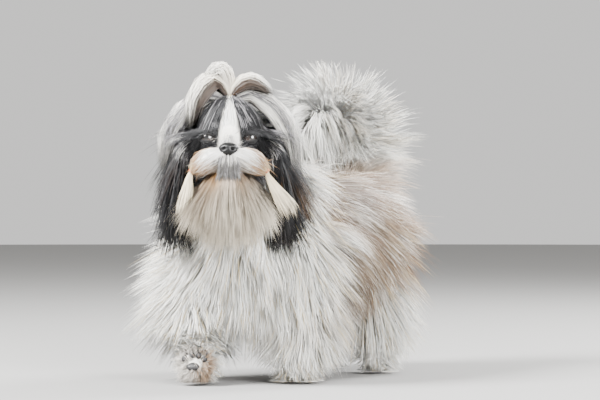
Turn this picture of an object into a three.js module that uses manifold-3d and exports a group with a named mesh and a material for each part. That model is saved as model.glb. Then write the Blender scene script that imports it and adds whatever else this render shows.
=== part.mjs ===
import * as THREE from "three";
import { mergeVertices } from "three/addons/utils/BufferGeometryUtils.js";
import Module from "manifold-3d";

// A shih tzu in full coat, walking, at life size in millimetres.
// It faces -Y with its head turned to its left. +X is its left and +Z is up.

const wasm = await Module();
wasm.setup();

// Driving dimensions
const GAP = 0.35; // between two pieces that meet
const FLOOR_CLEAR = 3; // lowest point of any hair
const BACK = 250; // floor to the skin of the back
const TRUNK_FRONT = -158;
const TRUNK_BACK = 148;
const TRUNK_HALF_WIDTH = 72; // with the undercoat
const TRUNK_HALF_DEPTH = 70;
const TRUNK_MIDDLE = BACK - 62;
const HEAD_AT = [-4, -172, 308]; // middle of the skull
const HEAD_TURN = THREE.MathUtils.degToRad(30);
const HEAD_LIFT = THREE.MathUtils.degToRad(6);
const EYE_SPACING = 54;
const EYE_RADIUS = 10.5;
const TAIL_RADIUS = 14;

const vec = (x, y, z) => new THREE.Vector3(x, y, z);
const UP = vec(0, 0, 1);
const DOWN = vec(0, 0, -1);
const LEFT = vec(1, 0, 0);
const BACKWARD = vec(0, 1, 0);
const rad = THREE.MathUtils.degToRad;
const mix = THREE.MathUtils.lerp;

let seed = 5;
function random(low = 0, high = 1) {
  seed = (seed * 16807) % 2147483647;
  return low + ((high - low) * seed) / 2147483647;
}

// Places a point or a direction of the head in the dog's frame.
const headFrame = new THREE.Matrix4()
  .makeTranslation(...HEAD_AT)
  .multiply(new THREE.Matrix4().makeRotationZ(HEAD_TURN))
  .multiply(new THREE.Matrix4().makeRotationX(-HEAD_LIFT));
const headPoint = (x, y, z) => vec(x, y, z).applyMatrix4(headFrame);
const headAim = (x, y, z) => vec(x, y, z).transformDirection(headFrame);

// Turns a closed three.js geometry into a solid, with its faces outwards.
function solid(geometry) {
  geometry.deleteAttribute("normal");
  geometry.deleteAttribute("uv");
  const merged = mergeVertices(geometry, 1e-4);
  const triVerts = Uint32Array.from(merged.index.array);
  const vertProperties = merged.attributes.position.array;
  const make = () => new wasm.Manifold(new wasm.Mesh({ numProp: 3, vertProperties, triVerts }));
  const body = make();
  if (body.volume() >= 0) return body;
  for (let i = 0; i < triVerts.length; i += 3) {
    [triVerts[i + 1], triVerts[i + 2]] = [triVerts[i + 2], triVerts[i + 1]];
  }
  return make();
}

// A closed skin over a row of oval rings: a sphere whose rows are moved onto the rings.
function loft(rings, sides, grow = 0) {
  const rows = rings.length + 2;
  const geometry = new THREE.SphereGeometry(1, sides, rows - 1);
  const position = geometry.attributes.position;
  for (let row = 0; row < rows; row++) {
    const ring = rings[THREE.MathUtils.clamp(row - 1, 0, rings.length - 1)];
    const isPole = row === 0 || row === rows - 1;
    for (let column = 0; column <= sides; column++) {
      const turn = (2 * Math.PI * (column % sides)) / sides;
      const point = isPole
        ? ring.pole.clone().add(ring.pole.clone().sub(ring.at).setLength(grow))
        : ring.at
            .clone()
            .addScaledVector(ring.side, Math.cos(turn) * (ring.w + grow))
            .addScaledVector(ring.up, Math.sin(turn) * (ring.h + grow));
      position.setXYZ(row * (sides + 1) + column, point.x, point.y, point.z);
    }
  }
  return solid(geometry);
}

// The rings of a body part that follows a smooth line through its knots.
// A knot has a centre, a half width across and a half height.
function limb(knots, { across = LEFT, stations, sides = 12, place = vec, cap = 0.6 }) {
  const line = new THREE.CatmullRomCurve3(knots.map((knot) => place(...knot.at)));
  const rings = Array.from({ length: stations }, (_, i) => {
    const t = i / (stations - 1);
    const knotShare = t * (knots.length - 1);
    const before = Math.min(Math.floor(knotShare), knots.length - 2);
    const between = (name) =>
      mix(knots[before][name], knots[before + 1][name], knotShare - before);
    const along = line.getTangent(t);
    const side = across.clone().addScaledVector(along, -across.dot(along)).normalize();
    const up = side.clone().cross(along);
    return { at: line.getPoint(t), along, side, up, w: between("w"), h: between("h") };
  });
  const endPole = (ring, sign) => {
    ring.pole = ring.at.clone().addScaledVector(ring.along, sign * cap * Math.min(ring.w, ring.h));
  };
  endPole(rings[0], -1);
  endPole(rings.at(-1), 1);
  return { rings, sides };
}

// About how far a point lies from the nearest of some body parts.
function gapTo(cores, p) {
  let least = Infinity;
  for (const core of cores) {
    for (const { at, side, up, along, w, h } of core.rings) {
      const x = p.x - at.x;
      const y = p.y - at.y;
      const z = p.z - at.z;
      const a = (x * side.x + y * side.y + z * side.z) / w;
      const b = (x * up.x + y * up.y + z * up.z) / h;
      const c = (x * along.x + y * along.y + z * along.z) / ((w + h) / 2);
      least = Math.min(least, (Math.hypot(a, b, c) - 1) * Math.min(w, h));
    }
  }
  return least;
}

// The direction that leads away from the nearest body part.
function outward(cores, p) {
  const gapBy = (axis, step) => gapTo(cores, p.clone().addScaledVector(axis, step));
  const slope = (axis) => gapBy(axis, 1) - gapBy(axis, -1);
  return vec(slope(LEFT), slope(BACKWARD), slope(UP)).normalize();
}

// The point of the skin that a ray from inside a body part comes out of.
function skinPoint(cores, from, aim) {
  let inside = 0;
  let outside = 200;
  while (outside - inside > 0.2) {
    const middle = (inside + outside) / 2;
    if (gapTo(cores, from.clone().addScaledVector(aim, middle)) < 0) inside = middle;
    else outside = middle;
  }
  return from.clone().addScaledVector(aim, inside);
}

// One flat lock of hair that leaves the skin at its root, follows the coat and tapers to its tip.
const LOCK_BENDS = 3;
const lockWidth = (t) => 0.7 + 1.5 * t - 2.1 * t * t;
const lockDepth = (t) => 1 - 0.5 * t * t;
function lock(options) {
  const { root, aim, length, width, thick = 3.2, cores } = options;
  const { stand = 0.35, hover = 5, fall = 0.35, sink = 9 } = options;
  const first = outward(cores, root);
  const heading = aim.clone().addScaledVector(first, stand).normalize();
  const step = length / LOCK_BENDS;
  const path = [root.clone()];
  const faces = [first];
  for (let bend = 1; bend <= LOCK_BENDS; bend++) {
    heading.addScaledVector(DOWN, (fall * bend) / LOCK_BENDS).normalize();
    const last = path.at(-1);
    const next = last.clone().addScaledVector(heading, step);
    const out = outward(cores, next);
    const wanted = hover * Math.sin((Math.PI / 2) * Math.min(1, (1.6 * bend) / LOCK_BENDS));
    const gap = gapTo(cores, next);
    if (gap < wanted) next.addScaledVector(out, wanted - gap);
    next.z = Math.max(next.z, FLOOR_CLEAR + (bend < LOCK_BENDS ? thick : 0));
    heading.copy(next).sub(last).normalize();
    path.push(next);
    faces.push(out);
  }
  const rings = path.slice(0, LOCK_BENDS).map((at, i) => {
    const along = path[i + 1].clone().sub(path[Math.max(0, i - 1)]).normalize();
    const side = along.clone().cross(faces[i]).normalize();
    const up = side.clone().cross(along);
    const t = i / LOCK_BENDS;
    return { at, along, side, up, w: (width / 2) * lockWidth(t), h: thick * lockDepth(t) };
  });
  rings[0].pole = root.clone().addScaledVector(first, -sink);
  rings.at(-1).pole = path.at(-1);
  return { rings, sides: 4 };
}

// The direction from a ring's middle to its edge.
function spoke(ring, angle) {
  return ring.side.clone().multiplyScalar(Math.cos(angle)).addScaledVector(ring.up, Math.sin(angle));
}

// Locks over a band of a body part. Each row gives the ray's start and aim for a share of the way across.
function rowOfLocks(count, ray, options) {
  return Array.from({ length: count }, (_, i) => {
    const share = count === 1 ? 0.5 : i / (count - 1);
    const { from, aim } = ray(share);
    const set = typeof options === "function" ? options(share, i) : options;
    const root = skinPoint(set.rootedOn ?? set.cores, from, aim.normalize());
    const length = set.length * random(0.9, 1.1);
    return lock({ ...set, root, length, hover: (set.hover ?? 5) + (i % 2) * 2.5 });
  });
}

// Body parts of the trunk and the legs
const trunk = limb(
  [
    { at: [0, TRUNK_FRONT, TRUNK_MIDDLE], w: 28, h: 36 },
    { at: [0, TRUNK_FRONT + 22, TRUNK_MIDDLE - 2], w: 54, h: 58 },
    { at: [0, TRUNK_FRONT + 60, TRUNK_MIDDLE - 4], w: 0.97 * TRUNK_HALF_WIDTH, h: TRUNK_HALF_DEPTH },
    { at: [0, TRUNK_FRONT + 120, TRUNK_MIDDLE - 4], w: TRUNK_HALF_WIDTH, h: TRUNK_HALF_DEPTH },
    { at: [0, TRUNK_BACK - 128, TRUNK_MIDDLE - 1], w: 0.94 * TRUNK_HALF_WIDTH, h: 0.92 * TRUNK_HALF_DEPTH },
    { at: [0, TRUNK_BACK - 66, TRUNK_MIDDLE], w: 0.94 * TRUNK_HALF_WIDTH, h: 0.88 * TRUNK_HALF_DEPTH },
    { at: [0, TRUNK_BACK - 20, TRUNK_MIDDLE], w: 52, h: 52 },
    { at: [0, TRUNK_BACK, TRUNK_MIDDLE], w: 28, h: 30 },
  ],
  { stations: 13, sides: 14 },
);
const neck = limb(
  [
    { at: [0, -92, 218], w: 54, h: 54 },
    { at: [-1, -118, 243], w: 52, h: 50 },
    { at: [-3, -140, 266], w: 44, h: 42 },
  ],
  { stations: 4, sides: 10 },
);
const forelegLeft = limb(
  [
    { at: [50, -96, 186], w: 30, h: 36 },
    { at: [54, -80, 135], w: 27, h: 29 },
    { at: [50, -82, 78], w: 22, h: 22 },
    { at: [46, -84, 34], w: 20, h: 21 },
    { at: [45, -90, 8], w: 21, h: 26 },
  ],
  { stations: 7, sides: 8 },
);
const forelegRight = limb(
  [
    { at: [-58, -104, 186], w: 30, h: 34 },
    { at: [-84, -128, 134], w: 27, h: 28 },
    { at: [-70, -156, 80], w: 21, h: 21 },
    { at: [-52, -165, 42], w: 17, h: 17 },
    { at: [-48, -170, 8], w: 15, h: 15 },
  ],
  { stations: 7, sides: 8 },
);
const hindlegLeft = limb(
  [
    { at: [48, 108, 180], w: 34, h: 44 },
    { at: [54, 92, 130], w: 31, h: 37 },
    { at: [54, 124, 76], w: 21, h: 24 },
    { at: [52, 128, 36], w: 19, h: 21 },
    { at: [52, 114, 8], w: 20, h: 27 },
  ],
  { stations: 7, sides: 8 },
);
const hindlegRight = limb(
  [
    { at: [-48, 110, 180], w: 34, h: 44 },
    { at: [-56, 112, 130], w: 30, h: 35 },
    { at: [-54, 156, 80], w: 21, h: 23 },
    { at: [-50, 170, 40], w: 19, h: 20 },
    { at: [-50, 158, 8], w: 20, h: 26 },
  ],
  { stations: 7, sides: 8 },
);
const tail = limb(
  [
    { at: [0, 126, 224], w: TAIL_RADIUS + 5, h: TAIL_RADIUS + 5 },
    { at: [0, 150, 258], w: TAIL_RADIUS + 3, h: TAIL_RADIUS + 3 },
    { at: [-2, 150, 302], w: TAIL_RADIUS + 2, h: TAIL_RADIUS + 2 },
    { at: [-6, 126, 338], w: TAIL_RADIUS + 1, h: TAIL_RADIUS + 1 },
    { at: [-10, 90, 352], w: TAIL_RADIUS, h: TAIL_RADIUS },
    { at: [-14, 54, 342], w: 0.8 * TAIL_RADIUS, h: 0.8 * TAIL_RADIUS },
    { at: [-18, 30, 318], w: 0.6 * TAIL_RADIUS, h: 0.6 * TAIL_RADIUS },
  ],
  { stations: 10, sides: 8 },
);

// Body parts of the head, in its own frame
const inHead = { place: headPoint, across: headAim(1, 0, 0) };
const skull = limb(
  [
    { at: [0, 42, 2], w: 34, h: 32 },
    { at: [0, 20, 4], w: 50, h: 44 },
    { at: [0, -6, 4], w: 54, h: 46 },
    { at: [0, -28, 1], w: 50, h: 40 },
    { at: [0, -42, -2], w: 38, h: 30 },
  ],
  { ...inHead, stations: 7, sides: 12, cap: 0.2 },
);
const forelock = limb(
  [
    { at: [0, -22, 14], w: 44, h: 22 },
    { at: [0, -25, 34], w: 38, h: 17 },
    { at: [0, -24, 48], w: 22, h: 12 },
    { at: [0, -22, 57], w: 4.6, h: 4.6 },
  ],
  { ...inHead, stations: 5, sides: 10 },
);
const muzzleCore = limb(
  [
    { at: [0, -34, -22], w: 27, h: 17 },
    { at: [0, -52, -22], w: 29, h: 19 },
    { at: [0, -64, -22], w: 26, h: 17 },
    { at: [0, -68, -22], w: 20, h: 12 },
  ],
  { ...inHead, stations: 4, sides: 10, cap: 0.15 },
);
const jaw = limb(
  [
    { at: [0, -26, -46], w: 24, h: 9 },
    { at: [0, -48, -47], w: 23, h: 9 },
    { at: [0, -61, -46], w: 17, h: 7 },
  ],
  { ...inHead, stations: 4, sides: 10, cap: 0.4 },
);
const BAND = { x: 47, y: -50, z: -39 }; // where each side of the moustache is tied
const moustacheLobe = (side) =>
  limb(
    [
      { at: [side * 8, -58, -22], w: 15, h: 15 },
      { at: [side * 22, -59, -24], w: 12, h: 16 },
      { at: [side * 36, -55, -31], w: 8, h: 11 },
      { at: [side * BAND.x, BAND.y, BAND.z], w: 2.6, h: 2.6 },
    ],
    { place: headPoint, across: headAim(0, -1, 0), stations: 4, sides: 8, cap: 0.8 },
  );
const earFlap = (side) =>
  limb(
    [
      { at: [side * 46, 4, 22], w: 10, h: 3.5 },
      { at: [side * 60, 3, 8], w: 19, h: 4 },
      { at: [side * 68, 1, -22], w: 25, h: 4 },
      { at: [side * 70, -1, -52], w: 20, h: 3.5 },
      { at: [side * 69, -2, -92], w: 12, h: 3 },
    ],
    { place: headPoint, across: headAim(0, -1, 0), stations: 6, sides: 8, cap: 0.6 },
  );

// Hair of the trunk: it parts along the back and falls to each side
const fallAway = (side, back) => vec(side * 0.25, back, -1).normalize();
const trunkLocks = [];
const TRUNK_ROWS = [
  { turn: 20, length: 136, width: 58, columns: 5 },
  { turn: 78, length: 122, width: 56, columns: 5 },
];
for (const side of [-1, 1]) {
  for (const { turn, length, width, columns } of TRUNK_ROWS) {
    const angle = rad(turn);
    trunkLocks.push(
      ...rowOfLocks(
        columns,
        (share) => ({
          from: vec(0, mix(TRUNK_FRONT + 50, TRUNK_BACK - 14, share), TRUNK_MIDDLE),
          aim: vec(side * Math.sin(angle), 0, Math.cos(angle)),
        }),
        (share) => ({
          cores: [trunk],
          aim: vec(side * Math.cos(angle), mix(0.1, 0.5, share), -Math.sin(angle)),
          length,
          width,
          hover: 9,
          fall: 0.5,
        }),
      ),
    );
  }
}
// Hair of the breast, which falls in front of the forelegs
for (const [row, height] of [22, -30].entries()) {
  trunkLocks.push(
    ...rowOfLocks(
      4 - row,
      (share) => {
        const angle = rad(mix(-64, 64, share));
        return {
          from: vec(0, TRUNK_FRONT + 50, TRUNK_MIDDLE + height),
          aim: vec(Math.sin(angle), -Math.cos(angle), 0),
        };
      },
      (share) => ({
        cores: [trunk, neck],
        rootedOn: [trunk],
        aim: vec(mix(-0.7, 0.5, share), -0.2, -1),
        length: [112, 96][row],
        width: 52,
        hover: 10,
        stand: 0.5,
      }),
    ),
  );
}
// Ruff and mane round the neck
const RUFF_COUNT = 5;
for (const row of [0, 1]) {
  const ring = neck.rings[row === 0 ? 3 : 1];
  trunkLocks.push(
    ...rowOfLocks(
      RUFF_COUNT,
      (share) => {
        const angle = 2 * Math.PI * (share * (1 - 1 / RUFF_COUNT) + row / (2 * RUFF_COUNT));
        return { from: ring.at.clone(), aim: spoke(ring, angle) };
      },
      { cores: [trunk, neck], rootedOn: [neck], aim: vec(0, 0.15, -1), length: 84, width: 58, hover: 9 },
    ),
  );
}

// Hair of a leg: rings of locks that flare into a bell above the paw
function legLocks(leg, rows, drift) {
  return rows.flatMap(({ height, length, width, count, open }, row) =>
    rowOfLocks(
      count,
      (share) => {
        const closed = share * (1 - 1 / count) + (row % 2) / (2 * count);
        const angle = open ? rad(mix(open / 2, 360 - open / 2, share) - 90) : 2 * Math.PI * closed;
        const above = leg.rings.filter((ring) => ring.at.z > height).at(-1);
        return { from: above.at.clone().setZ(height), aim: vec(Math.cos(angle), Math.sin(angle), 0) };
      },
      { cores: [leg], aim: vec(drift.x, drift.y, -1), length, width, stand: 0.75, hover: 8, fall: 0.2 },
    ),
  );
}
const FORELEG_ROWS = [
  { height: 102, length: 92, width: 48, count: 5 },
  { height: 56, length: 56, width: 42, count: 6 },
];
const LIFTED_LEG_ROWS = [
  { height: 112, length: 116, width: 60, count: 5 },
  { height: 60, length: 62, width: 44, count: 4, open: 130 }, // the open side shows the paw
];
const HINDLEG_ROWS = [
  { height: 96, length: 88, width: 46, count: 5 },
  { height: 52, length: 50, width: 38, count: 5 },
];
const forelegLeftLocks = legLocks(forelegLeft, FORELEG_ROWS, vec(0.05, 0, 0));
const forelegRightLocks = legLocks(forelegRight, LIFTED_LEG_ROWS, vec(-0.5, -0.05, 0));
const hindlegLeftLocks = legLocks(hindlegLeft, HINDLEG_ROWS, vec(0.05, 0.1, 0));
const hindlegRightLocks = legLocks(hindlegRight, HINDLEG_ROWS, vec(-0.05, 0.15, 0));

// Hair of the tail: a plume that spreads from the curled tail
const tailLocks = tail.rings.slice(2, 9).flatMap((ring, row) =>
  rowOfLocks(
    3,
    (share) => {
      const angle = 2 * Math.PI * (share * (2 / 3) + (row % 2) / 6);
      return { from: ring.at.clone(), aim: spoke(ring, angle) };
    },
    {
      cores: [tail, trunk],
      rootedOn: [tail],
      aim: ring.along.clone().addScaledVector(LEFT, 0.4),
      length: 94 - 4 * Math.abs(row - 4),
      width: 48,
      stand: 1.1,
      hover: 10,
      fall: 0.3,
      sink: 8,
    },
  ),
);

// Hair of the head: it parts at the middle and falls over the cheeks and the ears
const headLocks = [];
for (const side of [-1, 1]) {
  for (const [row, turn] of [22, 54].entries()) {
    headLocks.push(
      ...rowOfLocks(
        3 - row,
        (share) => ({
          from: headPoint(0, mix(-20, 28, share), 4),
          aim: headAim(side * Math.sin(rad(turn)), 0, Math.cos(rad(turn))),
        }),
        {
          cores: [skull],
          aim: headAim(side, 0.15, -0.35),
          length: row === 0 ? 90 : 84,
          width: 42,
          hover: 9 + 4 * (1 - row),
          fall: 0.6,
        },
      ),
    );
  }
  headLocks.push(
    ...rowOfLocks(
      1,
      () => ({ from: headPoint(0, -20, -10), aim: headAim(side, -0.35, 0) }),
      { cores: [skull], aim: headAim(side * 0.35, 0.1, -1), length: 62, width: 36, hover: 6, fall: 0.3 },
    ),
  );
}
headLocks.push(
  ...rowOfLocks(
    2,
    (share) => ({ from: headPoint(0, 10, 10), aim: headAim(mix(-0.6, 0.6, share), 1, 0.3) }),
    { cores: [skull, neck], rootedOn: [skull], aim: headAim(0, 0.5, -1), length: 78, width: 60, hover: 9 },
  ),
);

// Hair of the chin
const beardLocks = [0, 1, 2].flatMap((row) =>
  rowOfLocks(
    [3, 3, 2][row],
    (share) => ({
      from: headPoint(mix(-14, 14, share), -46, -46),
      aim: headAim(mix(-0.9, 0.9, share), [-1, -0.6, 0.1][row], [-0.1, -0.9, -1][row]),
    }),
    (share) => ({
      cores: [jaw, trunk, neck],
      rootedOn: [jaw],
      aim: headAim(mix(-0.35, 0.35, share), [-0.35, -0.1, 0][row], -1),
      length: [96, 96, 84][row],
      width: 36,
      hover: 22,
      stand: 0.3,
      sink: 6,
    }),
  ),
);

// Hair of an ear, rooted on the flap
const earLocks = (side, flap) =>
  [1, 2, 4].flatMap((station, row) =>
    rowOfLocks(
      [2, 2, 1][row],
      (share) => ({
        from: flap.rings[station].at.clone(),
        aim: headAim(side * 0.6, mix(-0.9, 0.9, share), 0),
      }),
      (share) => ({
        cores: [flap],
        aim: headAim(side * 0.12, mix(-0.22, 0.22, share), -1),
        length: [88, 84, 70][row],
        width: 36,
        hover: 6,
        stand: 0.25,
        fall: 0.3,
        sink: 4,
      }),
    ),
  );

// A lock along a hand-made arc, for hair that is tied in a band
function arcLock(points, width, thick, face, sink = 0) {
  const curve = new THREE.CatmullRomCurve3(points);
  const rings = [0, 1, 2].map((i) => {
    const t = i / LOCK_BENDS;
    const along = curve.getTangent(t);
    const side = along.clone().cross(face).normalize();
    const up = side.clone().cross(along);
    const w = (width / 2) * (i === 0 ? 0.3 : lockWidth(t));
    const h = thick * (i === 0 ? 0.7 : lockDepth(t));
    return { at: curve.getPoint(t), along, side, up, w, h };
  });
  rings[0].pole = points[0].clone().addScaledVector(rings[0].along, -1.5 - sink);
  rings.at(-1).pole = points.at(-1);
  return { rings, sides: 4 };
}

const KNOT = [0, -22, 60]; // where the topknot is tied
const topknotLobe = (knots) =>
  limb(
    knots.map(([x, y, z, w, h]) => ({ at: [x, KNOT[1] + y, KNOT[2] + z], w, h })),
    { place: headPoint, across: headAim(0, -1, 0), stations: 6, sides: 8, cap: 1 },
  );
const topknotLobes = [
  topknotLobe([
    [0, 0, -2, 4.6, 4.6],
    [-5, 1, 14, 9, 8],
    [-22, 2, 30, 17, 9],
    [-42, 0, 20, 19, 8],
    [-50, -2, -4, 15, 6],
    [-50, -2, -24, 7, 4],
  ]),
  topknotLobe([
    [0, 0, 4, 4.6, 4.6],
    [8, 1, 20, 10, 8],
    [20, 2, 32, 17, 9],
    [36, 2, 28, 17, 8],
    [47, 1, 17, 11, 6],
    [53, 0, 8, 5, 4],
  ]),
];
const TOPKNOT_LOCKS = [
  { angle: -150, rise: 36, reach: 46, drop: 34 },
  { angle: -100, rise: 34, reach: 34, drop: 20 },
  { angle: -40, rise: 38, reach: 46, drop: 14 },
  { angle: 20, rise: 42, reach: 44, drop: 26 },
  { angle: 90, rise: 40, reach: 36, drop: 34 },
  { angle: 190, rise: 46, reach: 40, drop: 20 },
];
const topknotLocks = TOPKNOT_LOCKS.map(({ angle, rise, reach, drop }) => {
  const [x, y] = [Math.cos(rad(angle)), 0.8 * Math.sin(rad(angle))];
  const at = (out, up) => headPoint(out * reach * x, KNOT[1] + out * reach * y, KNOT[2] + up);
  const points = [at(0.08, 12), at(0.4, rise), at(0.8, rise - 0.15 * drop), at(1.1, rise - drop)];
  return arcLock(points, 30, 3.4, headAim(x * 0.3, y * 0.3, 1));
});

// The tied ends of the moustache
const tasselLocks = (side) =>
  Array.from({ length: 3 }, (_, i) => {
    const spread = mix(-0.45, 0.45, i / 2);
    const length = 58 * random(0.9, 1.1);
    const start = headPoint(side * (BAND.x + 3), BAND.y, BAND.z - 3);
    const outwards = (side > 0 ? 0.7 : -0.35) + 0.5 * spread;
    const aim = headAim(outwards, -0.18 + 0.5 * Math.abs(spread), -1);
    const points = [0, 0.35, 0.7, 1].map((t) => {
      const bow = headAim(0, -1, 0).multiplyScalar(6 * Math.sin(Math.PI * t));
      return start.clone().addScaledVector(aim, length * t).add(bow);
    });
    return arcLock(points, 18, 3.4, headAim(side * 0.2, -1, 0), 2);
  });

// Small pieces of the head and the lifted paw
function ball(centre, [x, y, z], turn = new THREE.Matrix4(), grow = 0, around = 12, rows = 8) {
  const geometry = new THREE.SphereGeometry(1, around, rows).scale(x + grow, y + grow, z + grow);
  geometry.applyMatrix4(turn).translate(centre.x, centre.y, centre.z);
  return solid(geometry);
}
const headTurn = new THREE.Matrix4().extractRotation(headFrame);
const eyeCentre = (side) => headPoint((side * EYE_SPACING) / 2, -38, 5);
const eye = (side) => (grow) => ball(eyeCentre(side), Array(3).fill(EYE_RADIUS), headTurn, grow, 10, 8);
const NOSE = [0, -69, -13];
const noseBall = (grow) => {
  const body = ball(headPoint(...NOSE), [12.5, 9, 9], headTurn, grow, 12, 7);
  if (grow > 0) return body;
  const nostril = (side) => ball(headPoint(side * 5.4, -77.5, -13.5), [2.6, 5, 2], headTurn, 0, 6, 4);
  return body.subtract(nostril(-1)).subtract(nostril(1));
};

// A ring of elastic round tied hair
function band(centre, axis, radius, thick) {
  const profile = new THREE.Path().absarc(radius, 0, thick, 0, 2 * Math.PI).getPoints(3);
  const turn = new THREE.Matrix4().makeRotationFromQuaternion(
    new THREE.Quaternion().setFromUnitVectors(vec(0, 1, 0), axis.clone().normalize()),
  );
  const geometry = new THREE.LatheGeometry(profile, 10).applyMatrix4(turn);
  return solid(geometry.translate(centre.x, centre.y, centre.z));
}
const topknotBand = (grow) => band(headPoint(...KNOT), headAim(0, 0, 1), 7, 1.8 + grow);
const moustacheBand = (side) => (grow) =>
  band(headPoint(side * BAND.x, BAND.y, BAND.z), headAim(side, 0, -0.9), 4.6, 1.5 + grow);

// The lifted paw: its sole is turned to the front, with four toe pads and their claws above the heel pad
const PAW_AT = vec(-47, -186, 28);
const pawTurn = new THREE.Matrix4()
  .makeRotationZ(rad(12))
  .multiply(new THREE.Matrix4().makeRotationX(rad(-28)));
const pawPoint = (x, y, z) => vec(x, y, z).applyMatrix4(pawTurn).add(PAW_AT);
const paw = (grow) => {
  const toes = [-12, -4, 4, 12].map((x) =>
    ball(pawPoint(x, 0, 9 - 0.035 * x * x), [6, 9, 8.5], pawTurn, grow, 6, 4),
  );
  return wasm.Manifold.union([ball(pawPoint(0, 6, -5), [17, 15, 14], pawTurn, grow, 8, 6), ...toes]);
};
const TOES = [
  { x: -13.5, z: 3, size: 4 },
  { x: -4.8, z: 8, size: 4.2 },
  { x: 4.8, z: 8, size: 4.2 },
  { x: 13.5, z: 3, size: 4 },
];
const toePad = ({ x, z, size }) => (grow) =>
  ball(pawPoint(x, -8.5, z), [size, 3.4, size * 1.1], pawTurn, grow, 7, 4);
const claw = ({ x, z }) => (grow) => {
  const points = [pawPoint(x, -1, z + 7), pawPoint(x, -8, z + 12), pawPoint(x, -13, z + 10.5)];
  return loft(arcLock(points, 4.6, 2, pawPoint(0, 0, 1).sub(PAW_AT)).rings, 5, grow);
};
const heelPad = (grow) => ball(pawPoint(0, -9.5, -8.5), [9, 3.6, 5.5], pawTurn, grow, 8, 4);

// Joining and cutting
const floor = solid(new THREE.BoxGeometry(2000, 2000, 200).translate(0, 0, -100));
const hairy = (cores, locks) => (grow) =>
  wasm.Manifold.union([...cores, ...locks].map(({ rings, sides }) => loft(rings, sides, grow)));
function largest(body) {
  return body.decompose().reduce((a, b) => (a.volume() > b.volume() ? a : b));
}
// Half of space on the far side of a plane
function beyond(point, aim) {
  const size = 1500;
  const turn = new THREE.Matrix4().makeRotationFromQuaternion(
    new THREE.Quaternion().setFromUnitVectors(UP, aim.clone().normalize()),
  );
  const geometry = new THREE.BoxGeometry(size, size, size).translate(0, 0, size / 2 + GAP / 2);
  return solid(geometry.applyMatrix4(turn).translate(point.x, point.y, point.z));
}

const dog = new THREE.Group();
const coat = (colour) => new THREE.MeshStandardMaterial({ color: colour, roughness: 0.8, metalness: 0 });
const WHITE = coat(0xe6e6dc);
const FAWN = coat(0xb59a78);
const SILVER = coat(0x8f9190);
const BLACK = coat(0x24272a);
const CREAM = coat(0xd8ccab);
const LEATHER = new THREE.MeshStandardMaterial({ color: 0x141517, roughness: 0.45, metalness: 0 });
const EYE = new THREE.MeshStandardMaterial({ color: 0x1a0f0a, roughness: 0.08, metalness: 0 });
const CLAW = new THREE.MeshStandardMaterial({ color: 0x2a2624, roughness: 0.4, metalness: 0 });
const ELASTIC = new THREE.MeshStandardMaterial({ color: 0xc8643c, roughness: 0.6, metalness: 0 });

function add(name, body, material) {
  const clean = largest(body.subtract(floor));
  const { vertProperties, triVerts } = clean.getMesh();
  const geometry = new THREE.BufferGeometry()
    .setAttribute("position", new THREE.BufferAttribute(Float32Array.from(vertProperties), 3))
    .setIndex(new THREE.BufferAttribute(Uint32Array.from(triVerts), 1));
  const mesh = new THREE.Mesh(geometry, material);
  mesh.name = name;
  dog.add(mesh);
}
const cut = (build, ...others) => others.reduce((body, other) => body.subtract(other(GAP)), build(0));

// The trunk is one body, parted by thin cuts
const wholeTrunk = hairy([trunk, neck], trunkLocks);
const NECK_CUT = { point: vec(0, -116, 232), aim: vec(0, -0.62, 0.78) };
const CHEST_CUT = { point: vec(0, -66, 0), aim: BACKWARD };
const RUMP_CUT = { point: vec(0, 72, 0), aim: BACKWARD };
const isBeyond = ({ point, aim }) => beyond(point, aim);
const isBefore = ({ point, aim }) => beyond(point, aim.clone().negate());
const trunkBody = wholeTrunk(0);
const legs = {
  foreleg_left: hairy([forelegLeft], forelegLeftLocks),
  foreleg_right: hairy([forelegRight], forelegRightLocks),
  hindleg_left: hairy([hindlegLeft], hindlegLeftLocks),
  hindleg_right: hairy([hindlegRight], hindlegRightLocks),
};
add("neck", trunkBody.intersect(isBeyond(NECK_CUT)), WHITE);
const belowNeck = trunkBody.intersect(isBefore(NECK_CUT));
add("chest", belowNeck.intersect(isBefore(CHEST_CUT)), WHITE);
add("barrel", belowNeck.intersect(isBeyond(CHEST_CUT)).intersect(isBefore(RUMP_CUT)), FAWN);
add("rump", belowNeck.intersect(isBeyond(RUMP_CUT)), FAWN);

// Each leg stays on its own side and is let into the trunk
const midline = { point: vec(0, 0, 0), aim: LEFT };
const pads = [...TOES.map(toePad), ...TOES.map(claw), heelPad];
function addLeg(name, side, ...others) {
  add(name, cut(legs[name], wholeTrunk, ...others).intersect(side(midline)), WHITE);
}
addLeg("foreleg_left", isBeyond);
addLeg("foreleg_right", isBefore, paw, ...pads);
addLeg("hindleg_left", isBeyond, legs.foreleg_left);
addLeg("hindleg_right", isBefore, legs.foreleg_right);
add("paw_right", cut(paw, ...pads), CREAM);
TOES.forEach((toe, i) => {
  add(`toe_pad_${i + 1}`, toePad(toe)(0), LEATHER);
  add(`claw_${i + 1}`, cut(claw(toe), ...TOES.map(toePad)), CLAW);
});
add("heel_pad", cut(heelPad, ...TOES.map(toePad)), LEATHER);

// The curled tail is parted into three lengths by planes through the middle of its curl
const CURL = vec(0, 86, 274);
const tailBody = cut(hairy([tail], tailLocks), wholeTrunk);
const curlCut = (degrees) => ({
  point: CURL,
  aim: vec(0, -Math.sin(rad(degrees)), Math.cos(rad(degrees))),
});
add("tail_base", tailBody.intersect(isBefore(curlCut(18))), FAWN);
add("tail_middle", tailBody.intersect(isBeyond(curlCut(18))).intersect(isBefore(curlCut(88))), WHITE);
add("tail_tip", tailBody.intersect(isBeyond(curlCut(88))).intersect(isBeyond(curlCut(18))), WHITE);

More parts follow.
